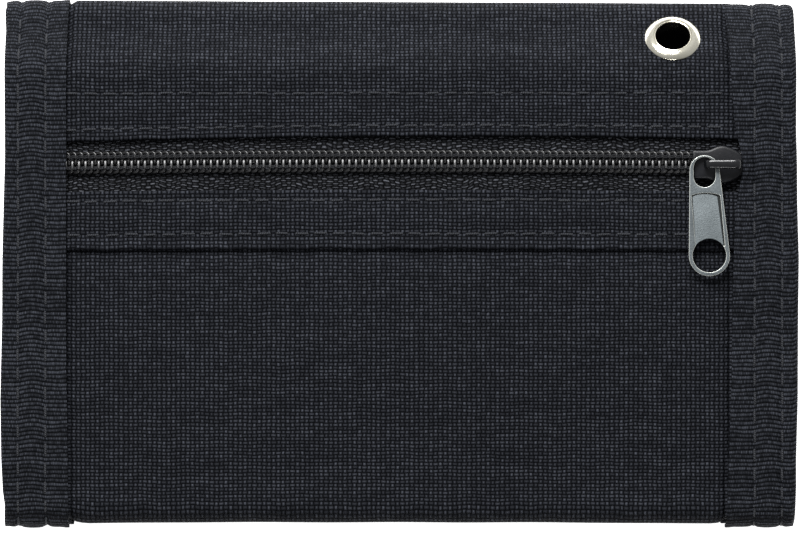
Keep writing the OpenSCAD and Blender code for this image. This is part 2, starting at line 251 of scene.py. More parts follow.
def closed_grid(outer, inner, flip=False):
    """Faces of a thin closed body from two matching grids of points."""
    na, nb = outer.shape[:2]
    n = na * nb
    faces = [grid_faces(na, nb, 0, flip), grid_faces(na, nb, n, not flip)]
    rims = []
    for j in (0, nb - 1):
        i = np.arange(na - 1)
        o = i * nb + j
        q = np.stack([o, o + n, o + nb + n, o + nb], 1)
        rims.append(q if (j == 0) != flip else q[:, ::-1])
    for i in (0, na - 1):
        j = np.arange(nb - 1)
        o = i * nb + j
        q = np.stack([o, o + 1, o + 1 + n, o + n], 1)
        rims.append(q if (i == 0) != flip else q[:, ::-1])
    verts = np.concatenate([outer.reshape(-1, 3), inner.reshape(-1, 3)])
    return verts, np.concatenate(faces + rims)


def swept_sheet(name, path, thickness, material, x_range=None, dx=1.1, shape=None):
    """Cloth swept along X. shape(x, y, z, s) gives how far it stands out and how far it shifts in Y."""
    path = np.asarray(path, float)
    x_range = x_range or (-SHEET_X, SHEET_X)
    xs = np.linspace(x_range[0], x_range[1], max(2, round((x_range[1] - x_range[0]) / dx)))
    if shape:
        near_edge = np.arange(EDGE_X - TAPE_W - 2.2, EDGE_X - TAPE_W + 2, 0.3)
        xs = np.unique(np.round(np.concatenate([xs, near_edge, -near_edge]), 3))
        xs = xs[(xs >= x_range[0]) & (xs <= x_range[1])]
    s = lengths(path)
    n = normals_2d(path)
    gx = np.repeat(xs[:, None], len(path), 1)
    gy = np.repeat(path[None, :, 0], len(xs), 0)
    gz = np.repeat(path[None, :, 1], len(xs), 0)
    gs = np.repeat(s[None, :], len(xs), 0)
    out, shift = shape(gx, gy, gz, gs) if shape else (0 * gx, 0 * gx)
    grids = []
    for side in (0.5, -0.5):
        d = out + side * thickness
        grids.append(np.stack([gx, gy + shift + n[None, :, 0] * d, gz + n[None, :, 1] * d], 2))
    verts, faces = closed_grid(*grids)
    uv = np.stack([gx, gs], 2).reshape(-1, 2)
    obj = make_object(name, verts, faces, material, uv=np.concatenate([uv, uv]))
    obj["flat"] = [(x_range[1] - x_range[0]) * MM, float(s[-1]) * MM]
    return obj


def tubes(name, strands, radius, material, sides=8, taper=True, square=1.0):
    """Round strands along lists of points; each one closes at both ends."""
    verts, faces, uvs = [], [], []
    for points in strands:
        p = np.asarray(points, float)
        t = np.gradient(p, axis=0)
        t /= np.linalg.norm(t, axis=1)[:, None]
        ref = np.array([0, 0, 1.0]) if abs(t[0][2]) < 0.8 else np.array([0, 1.0, 0])
        a = np.cross(t, ref)
        a /= np.linalg.norm(a, axis=1)[:, None]
        b = np.cross(a, t)
        n = len(p)
        r = np.full(n, radius)
        if taper:
            r = radius * np.sqrt(np.clip(1 - (2 * np.linspace(0.02, 0.98, n) - 1) ** 6, 0.05, 1))
        base = len(verts)
        along = lengths(p)
        for k in range(n):
            for m in range(sides):
                w = math.tau * (m + 0.5) / sides
                c, d = (math.copysign(abs(f) ** square, f) for f in (math.cos(w), math.sin(w)))
                verts.append(p[k] + r[k] * (c * a[k] + d * b[k]))
        for k in range(n - 1):
            for m in range(sides):
                m2 = (m + 1) % sides
                faces.append((base + k * sides + m, base + k * sides + m2,
                              base + (k + 1) * sides + m2, base + (k + 1) * sides + m))
                uvs += [(along[k], m / sides), (along[k], (m + 1) / sides),
                        (along[k + 1], (m + 1) / sides), (along[k + 1], m / sides)]
        faces.append(tuple(base + m for m in reversed(range(sides))))
        faces.append(tuple(base + (n - 1) * sides + m for m in range(sides)))
        uvs += [(along[0], 0)] * sides + [(along[-1], 0)] * sides
    return make_object(name, np.array(verts), faces, material, corner_uv=uvs)


def lathe(name, profile, centre, axis, material, n=96):
    """Turns a closed profile of [radius, height] round an axis through centre."""
    axis = np.asarray(axis, float) / np.linalg.norm(axis)
    u = np.cross(axis, [1.0, 0, 0])
    u /= np.linalg.norm(u)
    v = np.cross(axis, u)
    p = np.asarray(profile, float)
    verts = []
    for k in range(n):
        w = math.tau * k / n
        ring = math.cos(w) * u + math.sin(w) * v
        verts += [centre + r * ring + h * axis for r, h in p]
    m = len(p)
    faces = []
    for k in range(n):
        k2 = (k + 1) % n
        for i in range(m):
            i2 = (i + 1) % m
            faces.append((k * m + i, k2 * m + i, k2 * m + i2, k * m + i2))
    return make_object(name, np.array(verts), faces, material)


def extruded(name, outlines, z0, z1, bevel, resolution=3):
    """Flat plate with rounded rims, from a filled curve. The first outline is its rim, the rest are holes."""
    curve = bpy.data.curves.new(name, "CURVE")
    curve.dimensions = "2D"
    curve.fill_mode = "BOTH"
    curve.extrude = ((z1 - z0) / 2 - bevel) * MM
    curve.bevel_depth = bevel * MM
    curve.bevel_resolution = resolution
    curve.offset = -bevel * MM
    for outline in outlines:
        spline = curve.splines.new("POLY")
        spline.points.add(len(outline) - 1)
        for point, (x, y) in zip(spline.points, outline):
            point.co = (x * MM, y * MM, 0, 1)
        spline.use_cyclic_u = True
    obj = bpy.data.objects.new(name + "_curve", curve)
    bpy.context.scene.collection.objects.link(obj)
    bpy.context.view_layer.update()
    evaluated = obj.evaluated_get(bpy.context.evaluated_depsgraph_get())
    mesh = bpy.data.meshes.new_from_object(evaluated)
    bpy.data.objects.remove(obj)
    bpy.data.curves.remove(curve)
    verts = np.array([v.co for v in mesh.vertices]) / MM
    verts[:, 2] += (z0 + z1) / 2
    faces = [tuple(p.vertices) for p in mesh.polygons]
    bpy.data.meshes.remove(mesh)
    return verts, faces


def joined(name, parts, material, sharp=40):
    """One object from several lists of points and faces, with the touching points merged in each."""
    verts, faces = [], []
    for part_verts, part_faces in parts:
        base = len(verts)
        keys = {}
        remap = []
        for v in part_verts:
            key = tuple(np.round(v, 4))
            if key not in keys:
                keys[key] = base + len(keys)
                verts.append(v)
            remap.append(keys[key])
        for f in part_faces:
            g = []
            for i in f:
                if remap[i] not in g:
                    g.append(remap[i])
            if len(g) > 2:
                faces.append(tuple(g))
    verts = np.array(verts)
    return make_object(name, verts, faces, material, uv=verts[:, :2], sharp=sharp)


# --- Materials ------------------------------------------------------------------------
class Shader:
    """A material with one Principled shader, and short calls for the nodes that feed it."""

    def __init__(self, name, **settings):
        self.material = bpy.data.materials.new(name)
        self.material.use_nodes = True
        self.tree = self.material.node_tree
        self.tree.nodes.clear()
        output = self.tree.nodes.new("ShaderNodeOutputMaterial")
        self.bsdf = self.tree.nodes.new("ShaderNodeBsdfPrincipled")
        self.tree.links.new(self.bsdf.outputs[0], output.inputs[0])
        for key, value in settings.items():
            self.bsdf.inputs[key.replace("_", " ")].default_value = value

    def node(self, kind, out=0, props=None, **inputs):
        node = self.tree.nodes.new(kind)
        for key, value in (props or {}).items():
            setattr(node, key, value)
        for key, value in inputs.items():
            socket = node.inputs[int(key[1:])] if key[0] == "i" and key[1:].isdigit() else node.inputs[key]
            self.feed(socket, value)
        return node.outputs[out]

    def feed(self, socket, value):
        if isinstance(value, bpy.types.NodeSocket):
            self.tree.links.new(value, socket)
        else:
            socket.default_value = value

    def math(self, operation, a, b=0.0, c=0.0, clamp=False):
        return self.node("ShaderNodeMath", props={"operation": operation, "use_clamp": clamp},
                         i0=a, i1=b, i2=c)

    def cloth_uv(self):
        uv = self.node("ShaderNodeUVMap", props={"uv_map": "cloth"})
        split = self.tree.nodes.new("ShaderNodeSeparateXYZ")
        self.tree.links.new(uv, split.inputs[0])
        return uv, split.outputs[0], split.outputs[1]

    def vector(self, x, y, z=0.0):
        return self.node("ShaderNodeCombineXYZ", i0=x, i1=y, i2=z)

    def noise(self, vector, scale, detail=2.0, rough=0.5):
        return self.node("ShaderNodeTexNoise", Vector=vector, Scale=scale, Detail=detail, Roughness=rough)

    def white(self, vector):
        return self.node("ShaderNodeTexWhiteNoise", props={"noise_dimensions": "2D"}, Vector=vector)

    def ramp(self, factor, stops):
        node = self.tree.nodes.new("ShaderNodeValToRGB")
        elements = node.color_ramp.elements
        while len(elements) < len(stops):
            elements.new(0.5)
        for element, (position, colour) in zip(elements, stops):
            element.position = position
            element.color = (*colour, 1)
        self.tree.links.new(factor, node.inputs[0])
        return node.outputs[0]

    def spread(self, value, low, high):
        """Maps 0..1 to low..high."""
        return self.math("MULTIPLY_ADD", value, high - low, low)

    def bump(self, height, distance, strength=1.0):
        normal = self.node("ShaderNodeBump", Strength=strength, Distance=distance * MM, Height=height)
        self.tree.links.new(normal, self.bsdf.inputs["Normal"])

    def set(self, **inputs):
        for key, value in inputs.items():
            self.feed(self.bsdf.inputs[key.replace("_", " ")], value)
        return self.material


def cell(sh, value, pitch):
    """Index of a yarn, and the place across it from -0.5 to 0.5."""
    scaled = sh.math("DIVIDE", value, pitch)
    index = sh.math("FLOOR", scaled)
    return index, sh.math("SUBTRACT", sh.math("FRACT", scaled), 0.5)


def hump(sh, offset, reach, power):
    """Rounded profile across a yarn."""
    wave = sh.math("COSINE", sh.math("MULTIPLY", offset, math.pi * reach))
    return sh.math("POWER", sh.math("MAXIMUM", wave, 0.0), power)


def blend(a, b, share):
    return tuple(p + (q - p) * share for p, q in zip(a, b))


def woven(name, pitch, dark, light, warp_share, depth, rough, weft_share=1.0, wobble=0.1):
    """Plain weave: weft yarns along U cross over warp yarns in a checkerboard, with painted light: yarn crowns
    painted bright as highlights, gaps painted dark as shade.
    """
    sh = Shader(name, Specular_IOR_Level=0.04)
    uv, u, v = sh.cloth_uv()
    slow = sh.noise(uv, 0.35, 2.0)
    drift = sh.math("SUBTRACT", slow, 0.5)
    u = sh.math("MULTIPLY_ADD", drift, wobble * 4, u)
    v = sh.math("MULTIPLY_ADD", sh.math("SUBTRACT", sh.noise(uv, 0.22, 1.0), 0.5), wobble * 5, v)
    col, fx = cell(sh, u, pitch[0])
    row, fy = cell(sh, v, pitch[1])
    parity = sh.math("FLOORED_MODULO", sh.math("ADD", col, row), 2.0)
    weft = sh.math("MULTIPLY", hump(sh, fx, 0.85, 0.5), hump(sh, fy, 1.05, 0.9))
    warp = sh.math("MULTIPLY", hump(sh, fx, 1.2, 1.1), hump(sh, fy, 0.9, 0.7))
    # warp_share and weft_share weight each yarn set's bump height and its painted highlight.
    height = sh.node("ShaderNodeMix", Factor=parity, A=sh.math("MULTIPLY", warp, warp_share),
                     B=sh.math("MULTIPLY", weft, weft_share))
    yarn = sh.white(sh.vector(row, sh.math("FLOOR", sh.math("MULTIPLY", col, 0.11))))
    spot = sh.white(sh.vector(col, row))
    tone = sh.math("MULTIPLY", sh.spread(yarn, 0.82, 1.08), sh.spread(spot, 0.72, 1.2))
    tone = sh.math("MULTIPLY", tone, sh.spread(slow, 0.86, 1.14))
    fibre = sh.noise(sh.vector(sh.math("MULTIPLY", u, 2.0), sh.math("MULTIPLY", v, 9.0)), 1.6, 3.0)
    # Painted light: height picks the colour, from painted shade in the gaps to painted highlight on the crowns,
    # times random tone.
    shade = sh.math("MULTIPLY", sh.math("MULTIPLY", height, tone), sh.spread(fibre, 0.75, 1.2), clamp=True)
    colour = sh.ramp(shade, [(0.0, dark), (0.5, blend(dark, light, 0.3)), (1.0, light)])
    sh.bump(sh.math("ADD", height, sh.math("MULTIPLY", fibre, 0.12)), depth)
    return sh.set(Base_Color=colour, Roughness=sh.spread(shade, rough + 0.15, rough - 0.05))


def ribbed(name, dark, light, pitch=0.68, dot=0.27, depth=0.16):
    """Grosgrain tape: ribs across the tape, each a row of small warp floats, with rib crowns painted bright as
    highlights and grooves painted dark as shade.
    """
    sh = Shader(name, Specular_IOR_Level=0.04)
    uv, u, v = sh.cloth_uv()
    slow = sh.noise(uv, 0.3, 2.0)
    v = sh.math("MULTIPLY_ADD", sh.math("SUBTRACT", slow, 0.5), 0.5, v)
    row, fy = cell(sh, v, pitch)
    u = sh.math("MULTIPLY_ADD", sh.math("FLOORED_MODULO", row, 2.0), dot / 2, u)
    col, fx = cell(sh, u, dot)
    rib = hump(sh, fy, 1.05, 1.1)
    float_ = hump(sh, fx, 0.95, 1.0)
    height = sh.math("MULTIPLY", rib, sh.spread(float_, 0.25, 1.0))
    tone = sh.math("MULTIPLY", sh.spread(sh.white(sh.vector(col, row)), 0.5, 1.3),
                   sh.spread(sh.white(sh.vector(0.0, row)), 0.65, 1.15))
    tone = sh.math("MULTIPLY", tone, sh.spread(slow, 0.8, 1.2))
    # Painted light: rib height picks the colour, from painted shade in the grooves to painted highlight on the
    # crowns, times random tone.
    shade = sh.math("MULTIPLY", height, tone, clamp=True)
    colour = sh.ramp(shade, [(0.0, dark), (0.5, blend(dark, light, 0.38)), (1.0, light)])
    sh.bump(height, depth)
    return sh.set(Base_Color=colour, Roughness=sh.spread(shade, 0.75, 0.55))


def twisted(name, dark, light):
    """Sewing thread: plies that wind round it, painted bright on their crowns as highlights and dark between them
    as shade.
    """
    sh = Shader(name, Sheen_Weight=0.03, Specular_IOR_Level=0.15)
    uv, u, v = sh.cloth_uv()
    turn = sh.math("ADD", sh.math("DIVIDE", u, 0.55), v)
    wave = sh.math("MULTIPLY_ADD", sh.math("SINE", sh.math("MULTIPLY", turn, math.tau * 2)), 0.5, 0.5)
    fuzz = sh.noise(uv, 3.0, 2.0)
    # Painted light: the ply wave picks the colour, from painted shade between plies to painted highlight on them.
    shade = sh.math("MULTIPLY", wave, sh.spread(fuzz, 0.6, 1.2), clamp=True)
    colour = sh.ramp(shade, [(0.0, dark), (1.0, light)])
    sh.bump(wave, 0.08)
    return sh.set(Base_Color=colour, Roughness=sh.spread(fuzz, 0.45, 0.65))


def coated(name, dark, light, scale, rough, depth, **settings):
    """Metal, paint or plastic with fine unevenness in tone, gloss and surface."""
    sh = Shader(name, **settings)
    place = sh.node("ShaderNodeTexCoord", out=3)
    fine = sh.noise(place, scale / MM, 4.0, 0.6)
    broad = sh.noise(place, 0.25 / MM, 2.0)
    mixed = sh.math("MULTIPLY_ADD", broad, 0.5, sh.math("MULTIPLY", fine, 0.5), clamp=True)
    sh.bump(fine, depth)
    return sh.set(Base_Color=sh.ramp(mixed, [(0.25, dark), (0.75, light)]),
                  Roughness=sh.spread(mixed, rough[0], rough[1]))


# In the woven, ribbed and thread materials below, the first colour is the painted shade between yarns and the
# second the painted highlight on yarn crowns.
OXFORD = woven("oxford", (0.78, 0.585), (0.0004, 0.0005, 0.0009), (0.036, 0.039, 0.048), 0.95, 0.25, 0.62,
               weft_share=0.68)
LINING = woven("lining", (0.3, 0.3), (0.001, 0.001, 0.0013), (0.016, 0.0165, 0.019), 0.8, 0.06, 0.65)
POCKET = woven("pocket", (0.42, 0.42), (0.001, 0.001, 0.0013), (0.022, 0.023, 0.027), 0.7, 0.09, 0.6)
BINDING = ribbed("binding_tape", (0.0002, 0.0003, 0.0005), (0.033, 0.036, 0.0445))
ZIP_TAPE = woven("zip_tape", (0.85, 0.42), (0.0002, 0.0002, 0.0003), (0.058, 0.061, 0.07), 0.3, 0.3, 0.65,
                 wobble=0.42)
THREAD = twisted("thread", (0.005, 0.0055, 0.0065), (0.03, 0.032, 0.038))
SEAM_THREAD = twisted("seam_thread", (0.001, 0.001, 0.0014), (0.016, 0.017, 0.02))
COIL = coated("zip_coil", (0.001, 0.001, 0.0012), (0.003, 0.003, 0.0034), 0.8, (0.3, 0.42), 0.015,
              Specular_IOR_Level=0.6)
STOP_METAL = coated("stop_metal", (0.05, 0.05, 0.055), (0.09, 0.09, 0.095), 1.2, (0.3, 0.45), 0.02,
                    Metallic=0.9)
SLIDER_METAL = coated("slider_metal", (0.002, 0.0022, 0.003), (0.006, 0.0064, 0.008), 2.2, (0.3, 0.45), 0.02,
                      Specular_IOR_Level=0.2)
BRIDGE_METAL = coated("bridge_metal", (0.001, 0.0011, 0.0015), (0.003, 0.0032, 0.004), 2.2, (0.14, 0.24),
                      0.012, Specular_IOR_Level=0.5)
PULL_METAL = coated("pull_metal", (0.042, 0.049, 0.052), (0.11, 0.125, 0.131), 3.0, (0.4, 0.55), 0.06,
                    Metallic=0.35, Specular_IOR_Level=0.3)
# Painted highlight: the bright colour on the tab's top bevels stands in for the thin highlight lines along its
# rims.
PULL_RIM_HIGHLIGHT = coated("pull_rim_highlight", (0.5, 0.52, 0.48), (0.75, 0.77, 0.72), 2.0, (0.3, 0.45), 0.02, Metallic=0.5)
# Painted shade: the tab's recess floor is coloured dark to stand in for the shadow of its raised rim.
PULL_RECESS_SHADE = coated("pull_recess_shade", (0.004, 0.005, 0.005), (0.012, 0.014, 0.014), 2.0, (0.5, 0.7), 0.02,
                     Specular_IOR_Level=0.15)
PULL_PANEL = coated("pull_panel", (0.055, 0.065, 0.068), (0.15, 0.17, 0.178), 4.0, (0.5, 0.7), 0.12,
                    Metallic=0.3, Specular_IOR_Level=0.25)
EYELET_METAL = coated("eyelet_metal", (0.52, 0.5, 0.41), (0.68, 0.65, 0.56), 1.5, (0.12, 0.2), 0.015,
                      Metallic=1.0)
PILE = coated("pile", (0.002, 0.002, 0.0025), (0.01, 0.01, 0.012), 1.8, (0.6, 0.85), 0.1, Sheen_Weight=0.1)
FILM = coated("clear_film", (0.75, 0.8, 0.82), (0.85, 0.9, 0.92), 0.4, (0.08, 0.2), 0.02,
              Transmission_Weight=0.95, IOR=1.3)

# --- Edges of the bindings ------------------------------------------------------------
# The right tape's inner edge: how far it lies outside its mean width, by height on the face
RIGHT_EDGE_Y = (-43, -20, 0, 8, 12, 16, 19, 24, 33, 43)
RIGHT_EDGE_SHIFT = (-1.2, -0.4, -0.1, 0.2, 0.8, 1.5, 1.0, 0.0, -0.5, -1.2)
# How far each side edge is drawn in, by height on the face
SIDE_Y = (-43, -39.5, -37, -32, -22, -9, 1, 10, 17, 22, 40, 43)
LEFT_INSET = (0.1, 0.3, -0.05, -0.3, -0.45, -0.16, -0.12, 0.1, 0.3, 0.3, 0.15, -0.2)
RIGHT_INSET = (0.3, 0.25, 0.15, 0.15, -0.12, -0.18, -0.3, -0.05, 0.0, 0.15, 0.05, 0.0)


def edge_x_at(side, y):
    if side < 0:
        return EDGE_X - TAPE_W - 0.3 * smooth((-y - 10) / 30)
    return EDGE_X - TAPE_W + np.interp(y, RIGHT_EDGE_Y, RIGHT_EDGE_SHIFT)


def edge_inset(side, y):
    return np.interp(y, SIDE_Y, LEFT_INSET if side < 0 else RIGHT_INSET)


# --- Cloth of the outside -------------------------------------------------------------
def hem_curve(x):
    """How far the upper hem lies from its straight line: low at the left, high in the middle."""
    t = x / SHEET_X
    return 0.55 - 0.95 * t ** 2 + 0.3 * t


def zip_curve(x):
    t = x / SHEET_X
    return 0.2 - 0.45 * t ** 2


def face_shift(x, y):
    """Sideways drift of the front's cloth, threads and zip."""
    return (hem_curve(x) * gauss((y - HEM_Y) / 4.5) + zip_curve(x) * smooth((HEM_Y - 2.5 - y) / 1.5)
            * smooth((y + 1) / 6))


def at_binding(x):
    """0 under the two bindings, 1 away from them."""
    return smooth((EDGE_X - TAPE_W - np.abs(x)) / 4 + 0.1)


def tuck(x, y):
    """The cloth dips where it goes under a binding's edge."""
    edge = np.where(x < 0, edge_x_at(-1, y), edge_x_at(1, y))
    return -0.5 * gauss((np.abs(x) - edge + 0.15) / 0.5)


def seam(y, rows, depth, width=0.45):
    return -depth * sum(gauss((y - r) / width) for r in rows)


def upper_out(x, y):
    rows = STITCH_ROWS[:2]
    swell = 0.16 * gauss((y - 25.1) / 1.8) + 0.1 * gauss((y - 33) / 3)
    out = seam(y, rows, 0.12) + swell * (1 + 0.5 * ripple(x, y, 3)) + 0.1 * ripple(x, y, 4, 16) + 0.12
    return tuck(x, y) + out * at_binding(x)


def shell_shape(x, y, z, s):
    on_front = smooth((z - FOLD_Z - 1.5) / 2)
    on_back = smooth((FOLD_Z - z - 1.5) / 2) * smooth((FOLD_Z - INNER_H - 2.5 - z) / 0.5)
    hem_layer = smooth((z - FOLD_Z - HEM_UNDER_H - 0.35) / 0.3)
    slope = smooth((y - 29) / 2)
    out = upper_out(x, y) * on_front * np.maximum(hem_layer, slope)
    slack = 1.1 - 0.3 * x / SHEET_X
    under_tape = 0.4 - 0.3 * x / SHEET_X
    clear = smooth((EDGE_X - TAPE_W - np.abs(x) + 0.1) / 1.5)
    slack = under_tape + (slack - under_tape) * clear
    out = out + slack * gauss((z - FOLD_Z) / 4) * smooth((y - 38) / 3)
    out = out + on_back * at_binding(x) * (0.25 * ripple(x, y, 8, 22) + 0.3 * gauss(y / 26))
    return out, face_shift(x, y) * on_front


HEM_R = (FRONT_RISE - SHELL_DEPTH - HEM_UNDER_H) / 2
hem_c = (HEM_Y + HEM_R + CLOTH_T / 2, HEM_UNDER_H + HEM_R)
shell_path = np.concatenate([
    FRONT.world(join(
        line((HEM_Y + HEM_DEPTH, HEM_UNDER_H), (hem_c[0], HEM_UNDER_H), 8),
        arc(hem_c, HEM_R, 270, 90, 10),
        line((hem_c[0], hem_c[1] + HEM_R), (HEM_Y + 3.4, hem_c[1] + HEM_R), 9),
        line((HEM_Y + 3.4, hem_c[1] + HEM_R), (FRONT.shoulder_c[0], hem_c[1] + HEM_R), 16),
        FRONT.fold_side(SHELL_DEPTH),
    )),
    BACK.world(join(
        BACK.fold_side(SHELL_DEPTH)[::-1],
        BACK.flat(SHELL_DEPTH, BACK.roll_c[0])[::-1],
        BACK.roll(SHELL_DEPTH, 90, 270),
        line((BACK.roll_c[0], INNER_H + SHELL_DEPTH), (SHEET_BOTTOM, INNER_H + SHELL_DEPTH), 12),
    )),
])


def stiff(obj, body, slot, *nodes):
    """Hides the CAD nodes that a piece which keeps its shape replaces, and attaches it to the body it rides; slot
    is not used.
    """
    if nodes:
        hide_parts(*nodes)
    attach(obj, body)


def cut_hole(obj, centre, axis, radius):
    """Cuts a round hole through a sheet."""
    profile = [(0.001, -3), (radius, -3), (radius, 3), (0.001, 3)]
    cutter = lathe("cutter", profile, centre, axis, THREAD, 64)
    modifier = obj.modifiers.new("hole", "BOOLEAN")
    modifier.object = cutter
    modifier.operation = "DIFFERENCE"
    modifier.solver = "EXACT"
    bpy.context.view_layer.update()
    mesh = bpy.data.meshes.new_from_object(obj.evaluated_get(bpy.context.evaluated_depsgraph_get()))
    obj.modifiers.clear()
    obj.data = mesh
    bpy.data.objects.remove(cutter)


EYELET_AXIS = np.array(MOUNTS["eyelet"]["axis"], float)
EYELET_R = MOUNTS["eyelet"]["dims"]["r_mm"]
EYELET_Y = 37.2
EYELET_SINK = 0.6
barrel_low, barrel_high = box_mm("eyelet_barrel")
slope_a = math.radians(FRONT_SLOPE)
slope_foot = (FRONT.spine_c[0] + (SPINE_R - EYELET_SINK) * math.sin(slope_a),
              FRONT.spine_c[1] + (SPINE_R - EYELET_SINK) * math.cos(slope_a))
EYELET_C = np.array([MOUNTS["eyelet"]["pos_m"][0] / MM, EYELET_Y,
                     FOLD_Z + slope_foot[1] + (slope_foot[0] - EYELET_Y) * math.tan(slope_a)])

shell = swept_sheet("shell_cloth", shell_path, CLOTH_T, OXFORD, shape=shell_shape)
cut_hole(shell, EYELET_C, EYELET_AXIS, EYELET_R + 0.5)
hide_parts("upper_panel", "back_panel")
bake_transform(shell)


# The lower panel, which turns round the free edge
def lower_out(x, y, z):
    on_top = smooth((z - FOLD_Z - 3.2) / 1.5)
    below_band = smooth((BAND_BOTTOM - y) / 3.5)
    crown = 0.4 + 0.25 * gauss((y + 18) / 15) + 0.14 * ripple(x, y, 11, 19)
    end = smooth((-36 - y) / 4) * (0.1 + 0.25 * (x / SHEET_X) ** 2)
    return ((crown + end) * below_band * (0.3 + 0.7 * at_binding(x)) + tuck(x, y)) * on_top


LOWER_DEPTH = 1.42
lower_path = FRONT.world(join(
    line((SHEET_BOTTOM, INNER_H + LOWER_DEPTH), (FRONT.roll_c[0], INNER_H + LOWER_DEPTH), 10),
    FRONT.roll(LOWER_DEPTH, 270, 90, 36),
    line((FRONT.roll_c[0], FRONT_RISE - LOWER_DEPTH), (8.6, FRONT_RISE - LOWER_DEPTH), 48),
))
lower_panel = swept_sheet("lower_panel_cloth", lower_path, CLOTH_T, OXFORD,
                          shape=lambda x, y, z, s: (lower_out(x, y, z), 0 * x))
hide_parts("lower_panel")
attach(lower_panel, "front_half")


# The band under the zip, with both long edges turned in
def band_out(x, y):
    rows = STITCH_ROWS[2:]
    out = (seam(y, rows, 0.1) + 0.16 * gauss((y - 7.6) / 2) + 0.06 * ripple(x, y, 21)
           + 0.12 * smooth((y - 11.2) / 0.5) + 0.22 * smooth((3.9 - y) / 1.2))
    return 0.3 * tuck(x, y) + out * at_binding(x)


BAND_LAYER = 0.23
BAND_TOP_H = band_high[2] - FOLD_Z - BAND_LAYER / 2
BAND_LOW_H = BAND_TOP_H - BAND_LAYER - 0.02
band_r = (BAND_TOP_H - BAND_LOW_H) / 2
band_mid = (BAND_TOP_H + BAND_LOW_H) / 2
band_y = (BAND_BOTTOM + band_r + BAND_LAYER / 2, BAND_TOP - band_r - BAND_LAYER / 2)
band_path = FRONT.world(join(
    line((band_y[0] + 3.2, BAND_LOW_H), (band_y[0], BAND_LOW_H), 4),
    arc((band_y[0], band_mid), band_r, 270, 90, 8),
    line((band_y[0], BAND_TOP_H), (band_y[1], BAND_TOP_H), 22),
    arc((band_y[1], band_mid), band_r, 90, -90, 8),
    line((band_y[1], BAND_LOW_H), (band_y[1] - 3.2, BAND_LOW_H), 4),
))
band = swept_sheet("zip_band_cloth", band_path, BAND_LAYER, OXFORD,
                   shape=lambda x, y, z, s: (band_out(x, y) * smooth((z - FOLD_Z - band_mid) / 0.1),
                                             face_shift(x, y)))
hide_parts("lower_band")
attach(band, "front_half")

# --- Zip ------------------------------------------------------------------------------
ZIP_TAPE_W = 10.1
for side, node, name in ((1, "zip_tape_upper", "zip_tape_top"), (-1, "zip_tape_lower", "zip_tape_bottom")):
    low, high = box_mm(node)
    inner_edge = ZIP_Y + side * 0.2
    outer_edge = inner_edge + side * ZIP_TAPE_W
    ys = sorted((inner_edge, outer_edge))
    mid_z = (low[2] + high[2]) / 2
    tape_path = [(y, mid_z) for y in np.linspace(ys[0], ys[1], 16)]
    tape = swept_sheet(name, tape_path, high[2] - low[2] - 0.05, ZIP_TAPE, (-COIL_X, COIL_X),
                       shape=lambda x, y, z, s: (0.05 * ripple(x, y, 31, 9), face_shift(x, y)))
    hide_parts(node)
    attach(tape, "front_half")

COIL_PITCH = 1.08
COIL_WIRE = 0.25
COIL_REACH = {1: 1.75, -1: 1.5}
COIL_SEAMS = {1: (0.95, 1.22), -1: (0.58, 0.82)}


def coil_strand(side):
    """One monofilament coil: out along the bottom, across to the next turn at the rim, back over the top."""
    turns = int((2 * COIL_X - 1) / COIL_PITCH)
    past_middle = 0.4 if side < 0 else 0.15
    reach = (COIL_REACH[side] + past_middle) / 2
    middle = reach - past_middle
    head_drop = 0.12 if side < 0 else 0.36
    start = -COIL_X + 0.4 + (COIL_PITCH / 2 if side < 0 else 0)
    points = []
    for w in np.linspace(0, math.tau * turns, turns * 18 + 1):
        turn, w = divmod(w, math.tau)
        x = start + COIL_PITCH * (turn + float(smooth((w - math.pi + 1.1) / 2.2)))
        y = middle - reach * math.copysign(abs(math.cos(w)) ** 0.8, math.cos(w))
        lift = -math.copysign(abs(math.sin(w)) ** 0.55, math.sin(w))
        slope = float(smooth((0.7 - y) / 1.1)) if lift > 0 else 0.0
        z = COIL_BOTTOM + COIL_T / 2 + (COIL_T / 2 - COIL_WIRE) * lift - head_drop * slope
        points.append((x, ZIP_Y + side * y + zip_curve(x), z))
    return points


def coil_seam(side, offset, phase):
    """Sewing thread that holds a coil down: it dips between the turns."""
    points = []
    for x in np.arange(-COIL_X + 0.2, COIL_X - 0.2, COIL_PITCH / 6):
        w = math.tau * (x / COIL_PITCH) + phase
        y = ZIP_Y + zip_curve(x) + side * (offset + 0.07 * math.cos(w))
        points.append((x, y, COIL_BOTTOM + COIL_T - 0.18 + 0.06 * math.sin(w)))
    return points


for side, node, name in ((1, "zip_coil_upper", "coil_top"), (-1, "zip_coil_lower", "coil_bottom")):
    coil = tubes(name, [coil_strand(side)], COIL_WIRE, COIL, sides=12, taper=False, square=0.5)
    stiff(coil, "front_half", "zip_coil", node)
    sewn = tubes(name + "_seam", [coil_seam(side, y, 2.4 * y) for y in COIL_SEAMS[side]], 0.15, SEAM_THREAD,
                 sides=8, taper=False)
    stiff(sewn, "front_half", "thread")

for node, material in (("zip_end_stops", STOP_METAL), ("eyelet_washer", EYELET_METAL)):
    frame["nodes"][node].data.materials.clear()
    frame["nodes"][node].data.materials.append(material)

# --- Slider and pull ------------------------------------------------------------------
plate_low, plate_high = box_mm("slider_body")
bridge_low, bridge_high = box_mm("slider_bridge")
tab_low, tab_high = box_mm("pull_tab")
SLIDER_Y = (plate_low[1] + plate_high[1]) / 2
SLIDER_L = plate_high[0] - plate_low[0]
SLIDER_W = plate_high[1] - plate_low[1]
PLATE_T = 0.6


